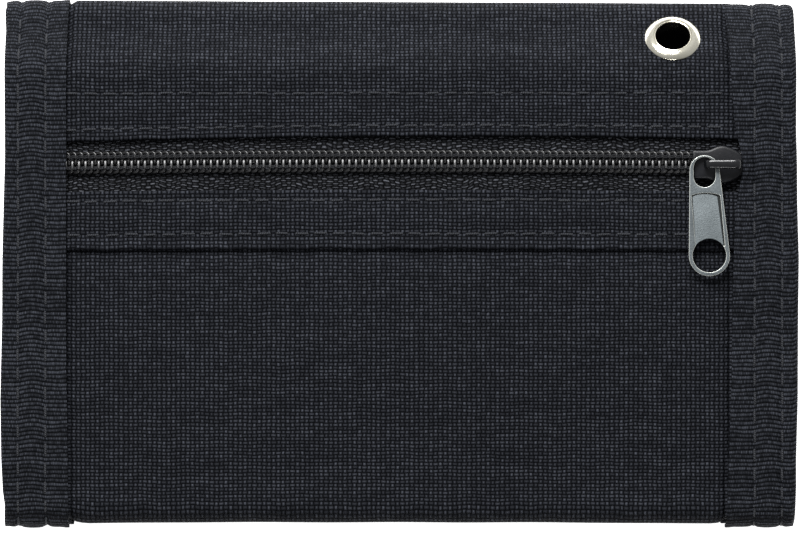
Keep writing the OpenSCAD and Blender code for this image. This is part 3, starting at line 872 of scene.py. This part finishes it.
def slider_outline(inset=0.0, n=40):
    """Narrow at the closed chain, flaring to the rounded end."""
    w = SLIDER_W / 2 - inset
    widest = 4.75
    nose = SLIDER_L - widest - inset
    top = []
    for t in np.linspace(0, 1, n):
        x = inset + (1 - (1 - t) ** 1.6) * (SLIDER_L - 2 * inset)
        if x < widest:
            y = w - 0.75 + 0.75 * float(smooth((x - 2.2) / 2.5))
        else:
            y = w * max(0.0, 1 - ((x - widest) / nose) ** 1.6) ** 0.625
        top.append((plate_low[0] + x, y))
    return [(x, SLIDER_Y + y) for x, y in top] + [(x, SLIDER_Y - y) for x, y in reversed(top)]


def rings_solid(rings, dome=0.0):
    """Closed solid from outlines of equal length, stacked from the bottom up."""
    verts = [(x, y, z) for outline, z in rings for x, y in outline]
    m = len(rings[0][0])
    faces = []
    for k in range(len(rings) - 1):
        for i in range(m):
            j = (i + 1) % m
            faces.append((k * m + i, k * m + j, (k + 1) * m + j, (k + 1) * m + i))
    for k, z_extra, flip in ((0, 0.0, True), (len(rings) - 1, dome, False)):
        outline, z = rings[k]
        centre = len(verts)
        verts.append((*np.mean(outline, axis=0), z + z_extra))
        for i in range(m):
            j = (i + 1) % m
            a, b = k * m + i, k * m + j
            faces.append((centre, b, a) if flip else (centre, a, b))
    return np.array(verts, float), faces


def plate(z0, z1, dome):
    """Plate of the slider, from how far its rim is drawn in at each height."""
    insets = (0.12, 0.0, 0.0, 0.07, 0.22, 0.5)
    heights = (z0, z0 + 0.12, z1 - 0.24, z1 - 0.1, z1 - 0.02, z1 + dome * 0.4)
    return rings_solid([(slider_outline(inset), z) for inset, z in zip(insets, heights)], dome * 0.6)


def flange(side):
    """Guide that turns down from the upper plate beside the coils."""
    outline = slider_outline()
    n = len(outline) // 2
    edge = outline[:n] if side > 0 else outline[n:][::-1]
    edge = [p for p in edge if plate_low[0] + 0.3 < p[0] < plate_high[0] - 3.0]
    inner = [(x, y - side * (0.2 if side > 0 else 0.4)) for x, y in edge]
    loop = edge + inner[::-1]
    if side < 0:
        loop = loop[::-1]
    return rings_solid([(loop[::-1], plate_high[2] - 1.45), (loop[::-1], plate_high[2] - 0.3)])


wedge_x = (plate_low[0] + 6.2, plate_low[0] + 8.4)
wedge = [(wedge_x[0], ZIP_Y - 0.1), (wedge_x[0] + 0.8, ZIP_Y - 0.35), (wedge_x[1], ZIP_Y - 0.35),
         (wedge_x[1], ZIP_Y + 0.35), (wedge_x[0] + 0.8, ZIP_Y + 0.35), (wedge_x[0], ZIP_Y + 0.1)]
slider = joined("slider_shell", [
    plate(plate_low[2], plate_low[2] + PLATE_T, 0.0),
    plate(plate_high[2] - PLATE_T, plate_high[2], 0.1),
    flange(1), flange(-1),
    rings_solid([(wedge, plate_low[2] + 0.3), (wedge, plate_high[2] - 0.3)]),
], SLIDER_METAL)
stiff(slider, "slider", "slider_metal", "slider_body")


def swept_bar(path, half_width, half_height, n=16):
    """Bar of rounded section along a path in the XZ plane at the middle of the bridge."""
    p = np.asarray(path, float)
    t = np.gradient(p, axis=0)
    t /= np.linalg.norm(t, axis=1)[:, None]
    normal = np.stack([-t[:, 1], t[:, 0]], 1)
    mid_y = (bridge_low[1] + bridge_high[1]) / 2
    verts, faces = [], []
    for k in range(len(p)):
        for i in range(n):
            w = math.tau * i / n
            wide = half_width * (0.95 + 0.22 * k / len(p))
            cy = math.copysign(abs(math.cos(w)) ** 0.6, math.cos(w)) * wide
            cn = math.copysign(abs(math.sin(w)) ** 0.6, math.sin(w)) * half_height
            verts.append((p[k][0] + normal[k][0] * cn, mid_y + cy, p[k][1] + normal[k][1] * cn))
    for k in range(len(p) - 1):
        for i in range(n):
            j = (i + 1) % n
            faces.append((k * n + i, (k + 1) * n + i, (k + 1) * n + j, k * n + j))
    faces.append(tuple(range(n)))
    faces.append(tuple(reversed(range((len(p) - 1) * n, len(p) * n))))
    return np.array(verts), faces


bar_h = 0.36
bar_z = bridge_high[2] - bar_h
foot_z = plate_high[2] - 0.25
left_x, right_x = bridge_low[0] + 0.42, bridge_high[0] - 0.42
bend_r = 0.8
bridge_path = join(
    line((left_x, foot_z), (left_x, bar_z - bend_r), 3),
    arc((left_x + bend_r, bar_z - bend_r), bend_r, 180, 90, 8),
    line((left_x + bend_r, bar_z), (right_x - bend_r, bar_z), 8),
    arc((right_x - bend_r, bar_z - bend_r), bend_r, 90, 0, 8),
    line((right_x, bar_z - bend_r), (right_x, foot_z), 3),
)
bar_w = (bridge_high[1] - bridge_low[1]) / 2
bridge = joined("slider_bridge_bar", [swept_bar(bridge_path, bar_w, bar_h)], BRIDGE_METAL)
stiff(bridge, "slider", "slider_metal", "slider_bridge")

# The tab: an outline round two circles, with a long hole, a recessed panel and a round hole
END_C = np.array(MOUNTS["pull_hole"]["pos_m"][:2]) / MM
HOLE_R = MOUNTS["pull_hole"]["dims"]["r_mm"]
TOP_R = 2.425
END_R = (tab_high[0] - tab_low[0]) / 2
TOP_C = np.array([plate_low[0] + 1.85, tab_high[1] - TOP_R])
TAB_Z = (tab_low[2], tab_high[2])


def circle(c, r, n=72):
    return [(c[0] + r * math.cos(math.tau * k / n), c[1] + r * math.sin(math.tau * k / n)) for k in range(n)]


def hull_outline(c0, r0, c1, r1, n=40):
    """Outline round two circles, c0 above c1."""
    d = np.array(c1) - np.array(c0)
    length = np.linalg.norm(d)
    base = math.degrees(math.atan2(d[1], d[0]))
    lean = math.degrees(math.acos((r0 - r1) / length))
    return arc(c0, r0, base + lean, base + 360 - lean, n) + arc(c1, r1, base - lean, base + lean, n)


def slot_outline(c_top, c_low, r, n=24):
    return arc(c_top, r, 0, 180, n) + arc(c_low, r, 180, 360, n)


ring_hole = slot_outline((TOP_C[0], TOP_C[1] + 0.35), (TOP_C[0], TOP_C[1] - 1.0), 1.8)
tab_rim = hull_outline(TOP_C, TOP_R, END_C, END_R)
RIM_W = 0.32
# How wide the dark recess floor shows beside the panel on the left and right; the right is wider to hold the
# painted shadow of the rim.
GROOVE_SHADE_W = (0.17, 0.5)
PANEL_TOP = TOP_C[1] - 3.75
RECESS_Z = TAB_Z[1] - 0.3
PANEL_H = 0.16
TAB_BEVEL = 0.1


def tab_x(y, side, inset):
    t = (TOP_C[1] - y) / (TOP_C[1] - END_C[1])
    return TOP_C[0] + (END_C[0] - TOP_C[0]) * t + side * (TOP_R + (END_R - TOP_R) * t - inset)


def arched(top_y, insets, hole_r):
    """Outline between an arched top edge, both sides and the round hole below."""
    x0, x1 = tab_x(top_y, -1, insets[0]), tab_x(top_y, 1, insets[1])
    points = []
    for t in np.linspace(-1, 1, 21):
        points.append(((x0 + x1) / 2 + t * (x1 - x0) / 2, top_y - 0.42 * abs(t) ** 2.6))
    low_y = END_C[1] + 1.6
    a = math.degrees(math.asin(1.6 / hole_r))
    reach = hole_r * math.cos(math.radians(a))
    points.append((min(tab_x(low_y, 1, insets[1]), END_C[0] + reach + 0.3), low_y))
    return points, a


recess, a = arched(PANEL_TOP, (RIM_W, RIM_W), HOLE_R)
recess = recess + arc(END_C, HOLE_R, a, -180 - a, 60)
plate_outline, a = arched(PANEL_TOP - 0.17, (RIM_W + GROOVE_SHADE_W[0], RIM_W + GROOVE_SHADE_W[1]), HOLE_R)
plate_outline = plate_outline + arc(END_C, HOLE_R + 0.02, a, 180 - a, 20)
tab = joined("pull_tab_body", [
    extruded("tab_base", [tab_rim, ring_hole, circle(END_C, HOLE_R)], TAB_Z[0], RECESS_Z, TAB_BEVEL),
    extruded("tab_frame", [tab_rim, ring_hole, recess], TAB_Z[0] + 0.3, TAB_Z[1], TAB_BEVEL),
    extruded("tab_plate", [plate_outline], RECESS_Z - 0.2, RECESS_Z + PANEL_H, TAB_BEVEL / 2),
], PULL_METAL, sharp=35)
for material in (PULL_PANEL, PULL_RIM_HIGHLIGHT, PULL_RECESS_SHADE):
    tab.data.materials.append(material)
for polygon in tab.data.polygons:
    z, up = polygon.center.z / MM, polygon.normal.z
    # Recess floor: painted shadow of the rim.
    if up > 0.9 and abs(z - RECESS_Z) < 0.03:
        polygon.material_index = 3
    elif up > 0.9 and abs(z - RECESS_Z - PANEL_H) < 0.03:
        polygon.material_index = 1
    # Top bevels of the frame: painted highlight.
    elif 0.05 < up <= 0.9 and z > TAB_Z[1] - 0.12:
        polygon.material_index = 2
stiff(tab, "pull", "pull_metal", "pull_tab")

# --- Eyelet ---------------------------------------------------------------------------
FLANGE_R = (barrel_high[0] - barrel_low[0]) / 2
BARREL_OUT_R = EYELET_R + 0.22
BARREL_TAIL = 1.4
DOME_H = 0.8
LIP_R = 0.32
profile = [(EYELET_R, -BARREL_TAIL), (BARREL_OUT_R, -BARREL_TAIL), (BARREL_OUT_R, 0.02),
           (FLANGE_R - 0.12, 0.02), (FLANGE_R, 0.1)]
for t in np.linspace(0, 1, 18):
    r = FLANGE_R - (FLANGE_R - EYELET_R - LIP_R) * t
    profile.append((r, 0.12 + (DOME_H - 0.12) * math.sin(math.pi / 2 * t) ** 0.85))
profile.append((EYELET_R + 0.26, DOME_H - 0.1))
for t in np.linspace(0, math.pi / 2, 7):
    profile.append((EYELET_R + 0.18 * (1 - math.sin(t)), DOME_H - 0.06 - 0.18 * (1 - math.cos(t))))
eyelet = lathe("eyelet_ring", profile[::-1], EYELET_C, EYELET_AXIS, EYELET_METAL)
stiff(eyelet, "front_half", "eyelet_metal", "eyelet_barrel")

# --- Bindings -------------------------------------------------------------------------
CORNER_R = 0.9


def tape_out(e, s, width):
    """How far the tape stands out, e from the side edge: puffed between its two rows of stitches."""
    a, b = BINDING_ROWS
    middle = 0.27 * np.sin(np.pi * np.clip((e - a) / (b - a), 0, 1)) ** 0.8
    rim = 0.1 * np.sin(np.pi * np.clip((e - 0.6) / (a - 0.6), 0, 1))
    lip = 0.12 * np.sin(np.pi * np.clip((e - b) / np.maximum(width - b, 1), 0, 1))
    pull = 0.75 + 0.25 * np.cos(math.tau * s / STITCH_PITCH)
    rows = -0.34 * pull * (gauss((e - a) / 0.42) + gauss((e - b) / 0.42))
    edge = 0.2 * smooth((e - width + 1.6) / 1.4)
    return middle * (0.85 + 0.15 * np.cos(math.tau * s / STITCH_PITCH)) + rim + lip + rows + edge


def over_slider(x, y):
    """The right tape rides up over the end of the slider."""
    return 0.5 * smooth((y - 13) / 2.4) * smooth((20.5 - y) / 3) * smooth((plate_high[0] + 3.2 - x) / 3.4)


def binding(name, outer, inner, side, face_edge=True):
    """Tape folded round a side edge. outer and inner are matching paths of its two faces."""
    o, i = np.asarray(outer, float), np.asarray(inner, float)
    gap = i - o
    wall = np.linalg.norm(gap, axis=1)
    unit = gap / np.maximum(wall, 1e-6)[:, None]
    solid = np.argmax(wall > 0.05)
    unit[:solid] = unit[solid]
    last = len(wall) - 1 - np.argmax(wall[::-1] > 0.05)
    unit[last + 1:] = unit[last]
    r = np.minimum(CORNER_R, wall * 0.45 + 0.02)
    s_o, s_i = lengths(o), lengths(i)
    nf, nc, nw, ni = 34, 6, 6, 16
    rows = []
    for k in range(len(o)):
        x_in = float(edge_x_at(side, o[k][0])) if face_edge else EDGE_X - TAPE_W
        edge = EDGE_X - float(edge_inset(side, o[k][0]))
        pts = []
        for t in np.linspace(0, 1, nf):
            pts.append((x_in + (edge - r[k] - x_in) * t, 0.0, 0.0, 0.0, -1.0))
        for a in np.linspace(0, math.pi / 2, nc + 1)[1:]:
            pts.append((edge - r[k] + r[k] * math.sin(a), r[k] * (1 - math.cos(a)), 0.15 * a,
                        math.sin(a), -math.cos(a)))
        for t in np.linspace(0, 1, nw + 1)[1:]:
            pts.append((edge, r[k] + (wall[k] - 2 * r[k]) * t, 0.25 + 0.5 * t, 1.0, 0.0))
        for a in np.linspace(0, math.pi / 2, nc + 1)[1:]:
            pts.append((edge - r[k] + r[k] * math.cos(a), wall[k] - r[k] * (1 - math.sin(a)), 0.75 + 0.15 * a,
                        math.cos(a), math.sin(a)))
        for t in np.linspace(0, 1, ni)[1:]:
            pts.append((edge - r[k] - (edge - r[k] - (EDGE_X - TAPE_W)) * t, wall[k], 1.0, 0.0, 1.0))
        pts = np.array(pts)
        yz = o[k][None] + unit[k][None] * pts[:, 1:2]
        away = np.concatenate([pts[:, 3:4] * side, unit[k][None] * pts[:, 4:5]], 1)
        rows.append(np.concatenate([pts[:, 0:1] * side, yz, pts[:, 2:3], away], 1))
    grid = np.array(rows)
    points, g, away = grid[:, :, :3], grid[:, :, 3], grid[:, :, 4:]
    du = np.gradient(points, axis=1)
    ds = np.gradient(points, axis=0)
    normal = np.cross(ds, du) * (1 if side < 0 else -1)
    size = np.linalg.norm(normal, axis=2)
    normal /= np.maximum(size, 1e-9)[:, :, None]
    # Where the tape comes to a point at its ends, the grid's own normals can't be trusted
    agree = np.sum(normal * away, axis=2)
    bad = (size < 1e-5) | (agree < -0.2) | ((np.abs(away[:, :, 0]) > 0.6) & (agree < 0.5))
    normal[bad] = away[bad]
    s = s_o[:, None] * (1 - np.clip(g, 0, 1)) + s_i[:, None] * np.clip(g, 0, 1)
    x, y, z = points[:, :, 0], points[:, :, 1], points[:, :, 2]
    e = EDGE_X - np.abs(x)
    width = (EDGE_X - np.abs(x[:, :1])) * np.ones_like(e)
    on_flat = smooth((e - 0.5) / 0.6)
    out = tape_out(e, s, width) * on_flat
    if side < 0:
        out = out + 0.6 * gauss((z - FOLD_Z) / 4) * smooth((y - 38) / 3) * (g < 0.1)
    if side > 0 and face_edge:
        out = np.minimum(out, 0.3)
        out = out + over_slider(x, y) * (g < 0.1) * (z > FOLD_Z + 5)
    face = points + normal * out[:, :, None]
    under = points + normal * (out - TAPE_T)[:, :, None]
    across = lengths_rows(points)
    a, b = BINDING_ROWS
    bow = 0.3 * np.clip(1 - ((e - (a + b) / 2) / ((b - a) / 2)) ** 2, 0, 1) * on_flat
    uv = np.stack([across, s - bow], 2).reshape(-1, 2)
    verts, faces = closed_grid(face, under, flip=side > 0)
    obj = make_object(name, verts, faces, BINDING, uv=np.concatenate([uv, uv]), sharp=70)
    obj["flat"] = [float(across[:, -1].max()) * MM, float(max(s_o[-1], s_i[-1])) * MM]
    obj["area"] = float(np.sum(np.gradient(s_o) * across[:, -1])) * MM * MM
    return obj


def lengths_rows(points):
    step = np.linalg.norm(np.diff(points, axis=1), axis=2)
    return np.concatenate([np.zeros((len(points), 1)), np.cumsum(step, axis=1)], 1)


def matched(*parts):
    """Joins pairs of lists of equal length into two paths."""
    outer, inner = [], []
    for o, i in parts:
        o, i = list(o), list(i)
        if outer:
            o, i = o[1:], i[1:]
        outer += o
        inner += i
    return outer, inner


def resample(points, n):
    p = np.asarray(points, float)
    s = lengths(p)
    t = np.linspace(0, s[-1], n)
    return list(zip(np.interp(t, s, p[:, 0]), np.interp(t, s, p[:, 1])))


def wrap_half(half, low_h):
    """Paths of a half's binding from the free edge to the fold, above low_h."""
    a0 = half.roll_angle(0, low_h) if low_h > INNER_H else 180
    n = 26
    if low_h > INNER_H:
        start = half.roll(0, a0, a0, 1)[0]
        under = line(start, (half.roll_c[0] + 2, low_h), n)
    else:
        under = half.roll(0, 180, 270, n)
    top = half.roll(0, a0, 90, n)
    y_in = under[-1][0]
    flat = half.flat(0, half.roll_c[0], 100)
    low = line((y_in, low_h), (RAMP_Y, low_h), 100)
    slope = resample(half.fold_side(0), 44)
    rise = resample(half.inner_side(low_h, SPINE_T + 0.4), 44)
    return matched((top, under), (flat, low), (slope, rise))


def over_fold(low_front, low_back):
    front_o, front_i = wrap_half(FRONT, low_front)
    back_o, back_i = wrap_half(BACK, low_back)
    outer = np.concatenate([FRONT.world(front_o), BACK.world(back_o)[::-1]])
    inner = np.concatenate([FRONT.world(front_i), BACK.world(back_i)[::-1]])
    return outer, inner


slit_front = box_mm("inner_binding_front")[1][2] - FOLD_Z
slit_back = FOLD_Z - box_mm("inner_binding_back")[0][2]
left_paths = over_fold(INNER_H, INNER_H)
right_paths = over_fold(slit_front + 0.35, slit_back + 0.35)
left = binding("binding_left", *left_paths, -1)
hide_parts("binding_left_front", "binding_left_back")
right = binding("binding_right_shell", *right_paths, 1)
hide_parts("binding_right_front", "binding_right_back")
for tape in (left, right):
    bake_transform(tape)

for half, body, node, top_h in ((FRONT, "front_half", "inner_binding_front", slit_front),
                                (BACK, "back_half", "inner_binding_back", slit_back)):
    a0 = half.roll_angle(0, top_h)
    start = half.roll(0, a0, a0, 1)[0]
    parts = matched(
        (line(start, (half.roll_c[0] + 2, top_h), 26), half.roll(0, a0, 270, 26)),
        (line((half.roll_c[0] + 2, top_h), (RAMP_Y, top_h), 90),
         line((half.roll_c[0], INNER_H), (RAMP_Y, INNER_H), 90)))
    paths = [half.world(p) for p in parts]
    if half.up < 0:
        paths = [p[::-1] for p in paths]
    tape = binding(node + "_tape", *paths, 1, face_edge=False)
    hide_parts(node)
    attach(tape, body)

# --- Stitches -------------------------------------------------------------------------
def dash(points, normals):
    """One stitch that comes out of the cloth, lies on it and goes back in."""
    n = len(points)
    t = np.linspace(0, 1, n)
    lift = -0.2 + 0.3 * np.sin(np.pi * t) ** 0.5
    return points + normals * lift[:, None]


face_strands = []
for row in STITCH_ROWS:
    x_end = EDGE_X - TAPE_W + 0.6
    start = -x_end + random.uniform(0, 1)
    while start < x_end - STITCH_LENGTH:
        xs = np.linspace(start, start + STITCH_LENGTH * random.uniform(0.92, 1.05), STITCH_POINTS)
        shift = 0.08 * random.uniform(-1, 1)
        tilt = np.linspace(-0.06, 0.06, STITCH_POINTS) * random.uniform(-1, 1)
        ys = row + shift + tilt
        out = upper_out(xs, ys) if row > ZIP_Y else band_out(xs, ys)
        zs = FOLD_Z + FRONT_RISE - SHELL_DEPTH + CLOTH_T / 2 + out if row > ZIP_Y else band_high[2] + out
        points = np.stack([xs, ys + face_shift(xs, ys), zs], 1)
        face_strands.append(dash(points, np.array([[0, 0, 1.0]] * STITCH_POINTS)))
        start += STITCH_PITCH
face_stitches = tubes("face_stitches", face_strands, THREAD_R, THREAD)
stiff(face_stitches, "front_half", "thread", "face_stitching")


def path_strands(path, x, out):
    """Stitches along a path of a binding's face, at one distance from the middle."""
    s = lengths(path)
    n = normals_2d(path)
    strands = []
    start = 1.2
    while start + STITCH_LENGTH < s[-1] - 1:
        at = np.linspace(start, start + STITCH_LENGTH, STITCH_POINTS)
        y, z = np.interp(at, s, path[:, 0]), np.interp(at, s, path[:, 1])
        ny, nz = np.interp(at, s, n[:, 0]), np.interp(at, s, n[:, 1])
        normal = np.stack([0 * ny, ny, nz], 1)
        normal /= np.linalg.norm(normal, axis=1)[:, None]
        xs = np.full(STITCH_POINTS, x) + 0.05 * random.uniform(-1, 1)
        points = np.stack([xs, y, z], 1) + normal * out
        strands.append(dash(points, normal))
        start += STITCH_PITCH
    return strands


binding_strands = []
for side, (outer, inner) in ((-1, left_paths), (1, right_paths)):
    for row in BINDING_ROWS:
        x = side * (EDGE_X - row)
        binding_strands += path_strands(outer, x, STITCH_SINK)
        if side < 0:
            binding_strands += path_strands(inner[::-1], x, STITCH_SINK)
binding_stitches = tubes("binding_stitches", binding_strands, THREAD_R, THREAD)
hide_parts("binding_stitching_front", "binding_stitching_back")
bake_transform(binding_stitches)

# --- Inside ---------------------------------------------------------------------------
FRONT_LINING_H = 3.325
BACK_LINING_H = 3.925


def lining_half(half, h):
    flat = line((half.roll_c[0] + 1, h), (RAMP_Y, h), 50)
    return half.world(join(flat, half.inner_side(h, LINING_DEPTH)))


lining_path = np.concatenate([lining_half(FRONT, FRONT_LINING_H), lining_half(BACK, BACK_LINING_H)[::-1]])
lining = swept_sheet("note_lining", lining_path, LINING_T, LINING,
                     shape=lambda x, y, z, s: (0.02 * ripple(x, y, 41, 14), 0 * x))
cut_hole(lining, EYELET_C, EYELET_AXIS, EYELET_R + 0.5)
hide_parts("front_lining", "back_lining")
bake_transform(lining)


def flat_piece(node, name, material, body, fold_edge=False):
    """A sheet that lies flat where its CAD node does. fold_edge turns its mouth over."""
    low, high = box_mm(node)
    t = high[2] - low[2]
    mid = (low[2] + high[2]) / 2
    if fold_edge:
        layer = t * 0.46
        r = t * 0.25
        top, under = mid + r, mid - r
        y1 = high[1] - r - layer / 2
        path = join(line((low[1], under), (y1, under), 30), arc((y1, mid), r, -90, 90, 8),
                    line((y1, top), (y1 - 5, top), 6))
        path = path[::-1]
    else:
        layer = t
        path = line((low[1], mid), (high[1], mid), 30)
    obj = swept_sheet(name, path, layer, material, (-high[0], high[0]))
    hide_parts(node)
    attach(obj, body)


for i in (1, 2, 3):
    flat_piece(f"card_pocket_{i}", f"card_slot_{i}", POCKET, "front_half", fold_edge=True)
flat_piece("id_backing", "id_backing_sheet", POCKET, "back_half")


def frame_sheet(node, name):
    """The sheet round the identity window: four sides with their inner edges rounded over."""
    low, high = box_mm(node)
    film_low, film_high = box_mm("id_film")
    lap = 4
    hole = (film_low[0] + lap, film_low[1] + lap, film_high[0] - lap, film_high[1] - lap)
    xs = sorted(set(np.round(np.concatenate([np.linspace(low[0], high[0], 110), [hole[0], hole[2]]]), 4)))
    ys = sorted(set(np.round(np.concatenate([np.linspace(low[1], high[1], 50), [hole[1], hole[3]]]), 4)))
    index, verts, faces = {}, [], []

    def point(i, j, level):
        key = (i, j, level)
        if key not in index:
            index[key] = len(verts)
            x, y = xs[i], ys[j]
            inset = max(hole[0] - x, x - hole[2], hole[1] - y, y - hole[3])
            soft = 0.1 * math.exp(-inset / 0.5)
            z = (high[2] - soft) if level else (low[2] + soft)
            verts.append((x, y, z))
        return index[key]

    def solid(i, j):
        if not (0 <= i < len(xs) - 1 and 0 <= j < len(ys) - 1):
            return False
        x, y = (xs[i] + xs[i + 1]) / 2, (ys[j] + ys[j + 1]) / 2
        return not (hole[0] < x < hole[2] and hole[1] < y < hole[3])

    for i in range(len(xs) - 1):
        for j in range(len(ys) - 1):
            if not solid(i, j):
                continue
            faces.append([point(*c, 1) for c in ((i, j), (i + 1, j), (i + 1, j + 1), (i, j + 1))])
            faces.append([point(*c, 0) for c in ((i, j + 1), (i + 1, j + 1), (i + 1, j), (i, j))])
            for di, dj, a, b in ((-1, 0, (i, j + 1), (i, j)), (1, 0, (i + 1, j), (i + 1, j + 1)),
                                 (0, -1, (i, j), (i + 1, j)), (0, 1, (i + 1, j + 1), (i, j + 1))):
                if not solid(i + di, j + dj):
                    faces.append([point(*a, 0), point(*b, 0), point(*b, 1), point(*a, 1)])
    verts = np.array(verts)
    obj = make_object(name, verts, faces, POCKET, uv=verts[:, :2])
    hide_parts(node)
    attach(obj, "back_half")


frame_sheet("id_frame", "id_window_frame")
flat_piece("id_film", "id_window_film", FILM, "back_half")

low, high = box_mm("coin_pocket_lining")
coin_half = 0.175
coin_bend = 0.5
coin_path = join(line((low[1], low[2] + coin_half), (high[1] - 0.3, low[2] + coin_half), 50),
                 arc((high[1] - coin_bend, low[2] + coin_bend), coin_bend - coin_half, -90, 0, 6),
                 line((high[1] - coin_half, low[2] + coin_bend), (high[1] - coin_half, high[2]), 4))
coin = swept_sheet("coin_pocket_sheet", coin_path, LINING_T, LINING)
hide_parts("coin_pocket_lining")
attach(coin, "front_half")


def fastener(node, name, body, up, hooks):
    """Half of a hook-and-loop fastener: a woven strip with its hooks or loops."""
    low, high = box_mm(node)
    top, bottom = (high[2], low[2]) if up > 0 else (low[2], high[2])
    base = 0.7
    strands = []
    pitch = 1.9 if hooks else 1.35
    nx, ny = int((high[0] - low[0] - 2) / pitch), int((high[1] - low[1] - 2) / pitch)
    reach = abs(top - bottom) - base - 0.08
    for i in range(nx + 1):
        for j in range(ny + 1):
            x = low[0] + 1 + i * (high[0] - low[0] - 2) / nx + random.uniform(-0.2, 0.2)
            y = low[1] + 1 + j * (high[1] - low[1] - 2) / ny + random.uniform(-0.2, 0.2)
            lean = random.uniform(0, math.tau) if not hooks else (0 if i % 2 else math.pi)
            c, s_ = math.cos(lean), math.sin(lean)
            turn = np.linspace(0, math.radians(250 if hooks else 180), 8)
            r = 0.42
            h = reach - r - 0.12
            pts = [(x, y, 0.0)] if hooks else []
            for w in turn:
                d = r - r * math.cos(w)
                pts.append((x + c * d, y + s_ * d, h + r * math.sin(w)))
            if not hooks:
                pts = [(x, y, 0.0)] + pts + [(x + c * 2 * r, y + s_ * 2 * r, 0.0)]
            strands.append([(px, py, top - up * base - up * pz) for px, py, pz in pts])
    pile = tubes(name + "_pile", strands, 0.1 if hooks else 0.09, PILE, sides=4)
    ys = line((low[1], top - up * base / 2), (high[1], top - up * base / 2), 16)
    strip = swept_sheet(name, ys, base, POCKET, (low[0], high[0]))
    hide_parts(node)
    for obj in (strip, pile):
        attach(obj, body)


fastener("loop_strip", "loop_base", "front_half", 1, False)
fastener("hook_strip", "hook_base", "back_half", -1, True)

# --- Floor, light and camera ----------------------------------------------------------
def area_light(name, energy, size, place, target=(0, 0, 0.01)):
    data = bpy.data.lights.new(name, "AREA")
    data.energy = energy
    data.shape = "RECTANGLE"
    data.size, data.size_y = size
    light = bpy.data.objects.new(name, data)
    bpy.context.scene.collection.objects.link(light)
    light.location = place
    direction = np.array(target, float) - np.array(place, float)
    light.rotation_euler = Vector(direction).to_track_quat("-Z", "Y").to_euler()


floor_shader = Shader("floor_paper")
floor_place = floor_shader.node("ShaderNodeTexCoord", out=3)
floor_grain = floor_shader.noise(floor_place, 300.0, 3.0)
floor_shader.bump(floor_grain, 0.05)
floor_shader.set(Emission_Color=(1, 1, 1, 1), Emission_Strength=0.8)
floor_tone = floor_shader.ramp(floor_grain, [(0.3, (0.88, 0.88, 0.88)), (0.7, (0.92, 0.92, 0.92))])
FLOOR = floor_shader.set(Base_Color=floor_tone, Roughness=floor_shader.spread(floor_grain, 0.8, 0.95))
FLOOR_HALF = 1500
FLOOR_Z = -0.5
floor_corners = [(x * FLOOR_HALF, y * FLOOR_HALF, FLOOR_Z) for x, y in ((-1, -1), (1, -1), (1, 1), (-1, 1))]
floor = make_object("floor", floor_corners, [(0, 1, 2, 3)], FLOOR)

world = bpy.data.worlds.new("studio")
bpy.context.scene.world = world
world.use_nodes = True
background = world.node_tree.nodes["Background"]
# The studio is bright behind the fold and darker on the free edge's side
direction = world.node_tree.nodes.new("ShaderNodeTexCoord")
split = world.node_tree.nodes.new("ShaderNodeSeparateXYZ")
level = world.node_tree.nodes.new("ShaderNodeMapRange")
level.inputs["From Min"].default_value = -1
level.inputs["To Min"].default_value = 0.0
level.inputs["To Max"].default_value = 1.0
world.node_tree.links.new(direction.outputs["Generated"], split.inputs[0])
world.node_tree.links.new(split.outputs["Y"], level.inputs["Value"])
world.node_tree.links.new(level.outputs[0], background.inputs["Strength"])
background.inputs[0].default_value = (0.97, 0.98, 1.0, 1)
area_light("key", 8.5, (0.36, 0.25), (-0.07, 0.4, 0.43))
area_light("strip", 1.2, (0.4, 0.06), (-0.05, -0.4, 0.55))

camera_data = bpy.data.cameras.new("camera")
camera_data.sensor_width = 36
camera_data.lens = 200
VIEW_W = 2 * EDGE_X + 0.8
VIEW_Y = -1.47
distance = VIEW_W * camera_data.lens / camera_data.sensor_width
camera = bpy.data.objects.new("camera", camera_data)
bpy.context.scene.collection.objects.link(camera)
camera.location = (0, VIEW_Y * MM, (FOLD_Z + FRONT_RISE + distance) * MM)
camera_data.clip_start = 0.01
camera_data.clip_end = 10
bpy.context.scene.camera = camera
bpy.context.scene.view_settings.view_transform = "Standard"
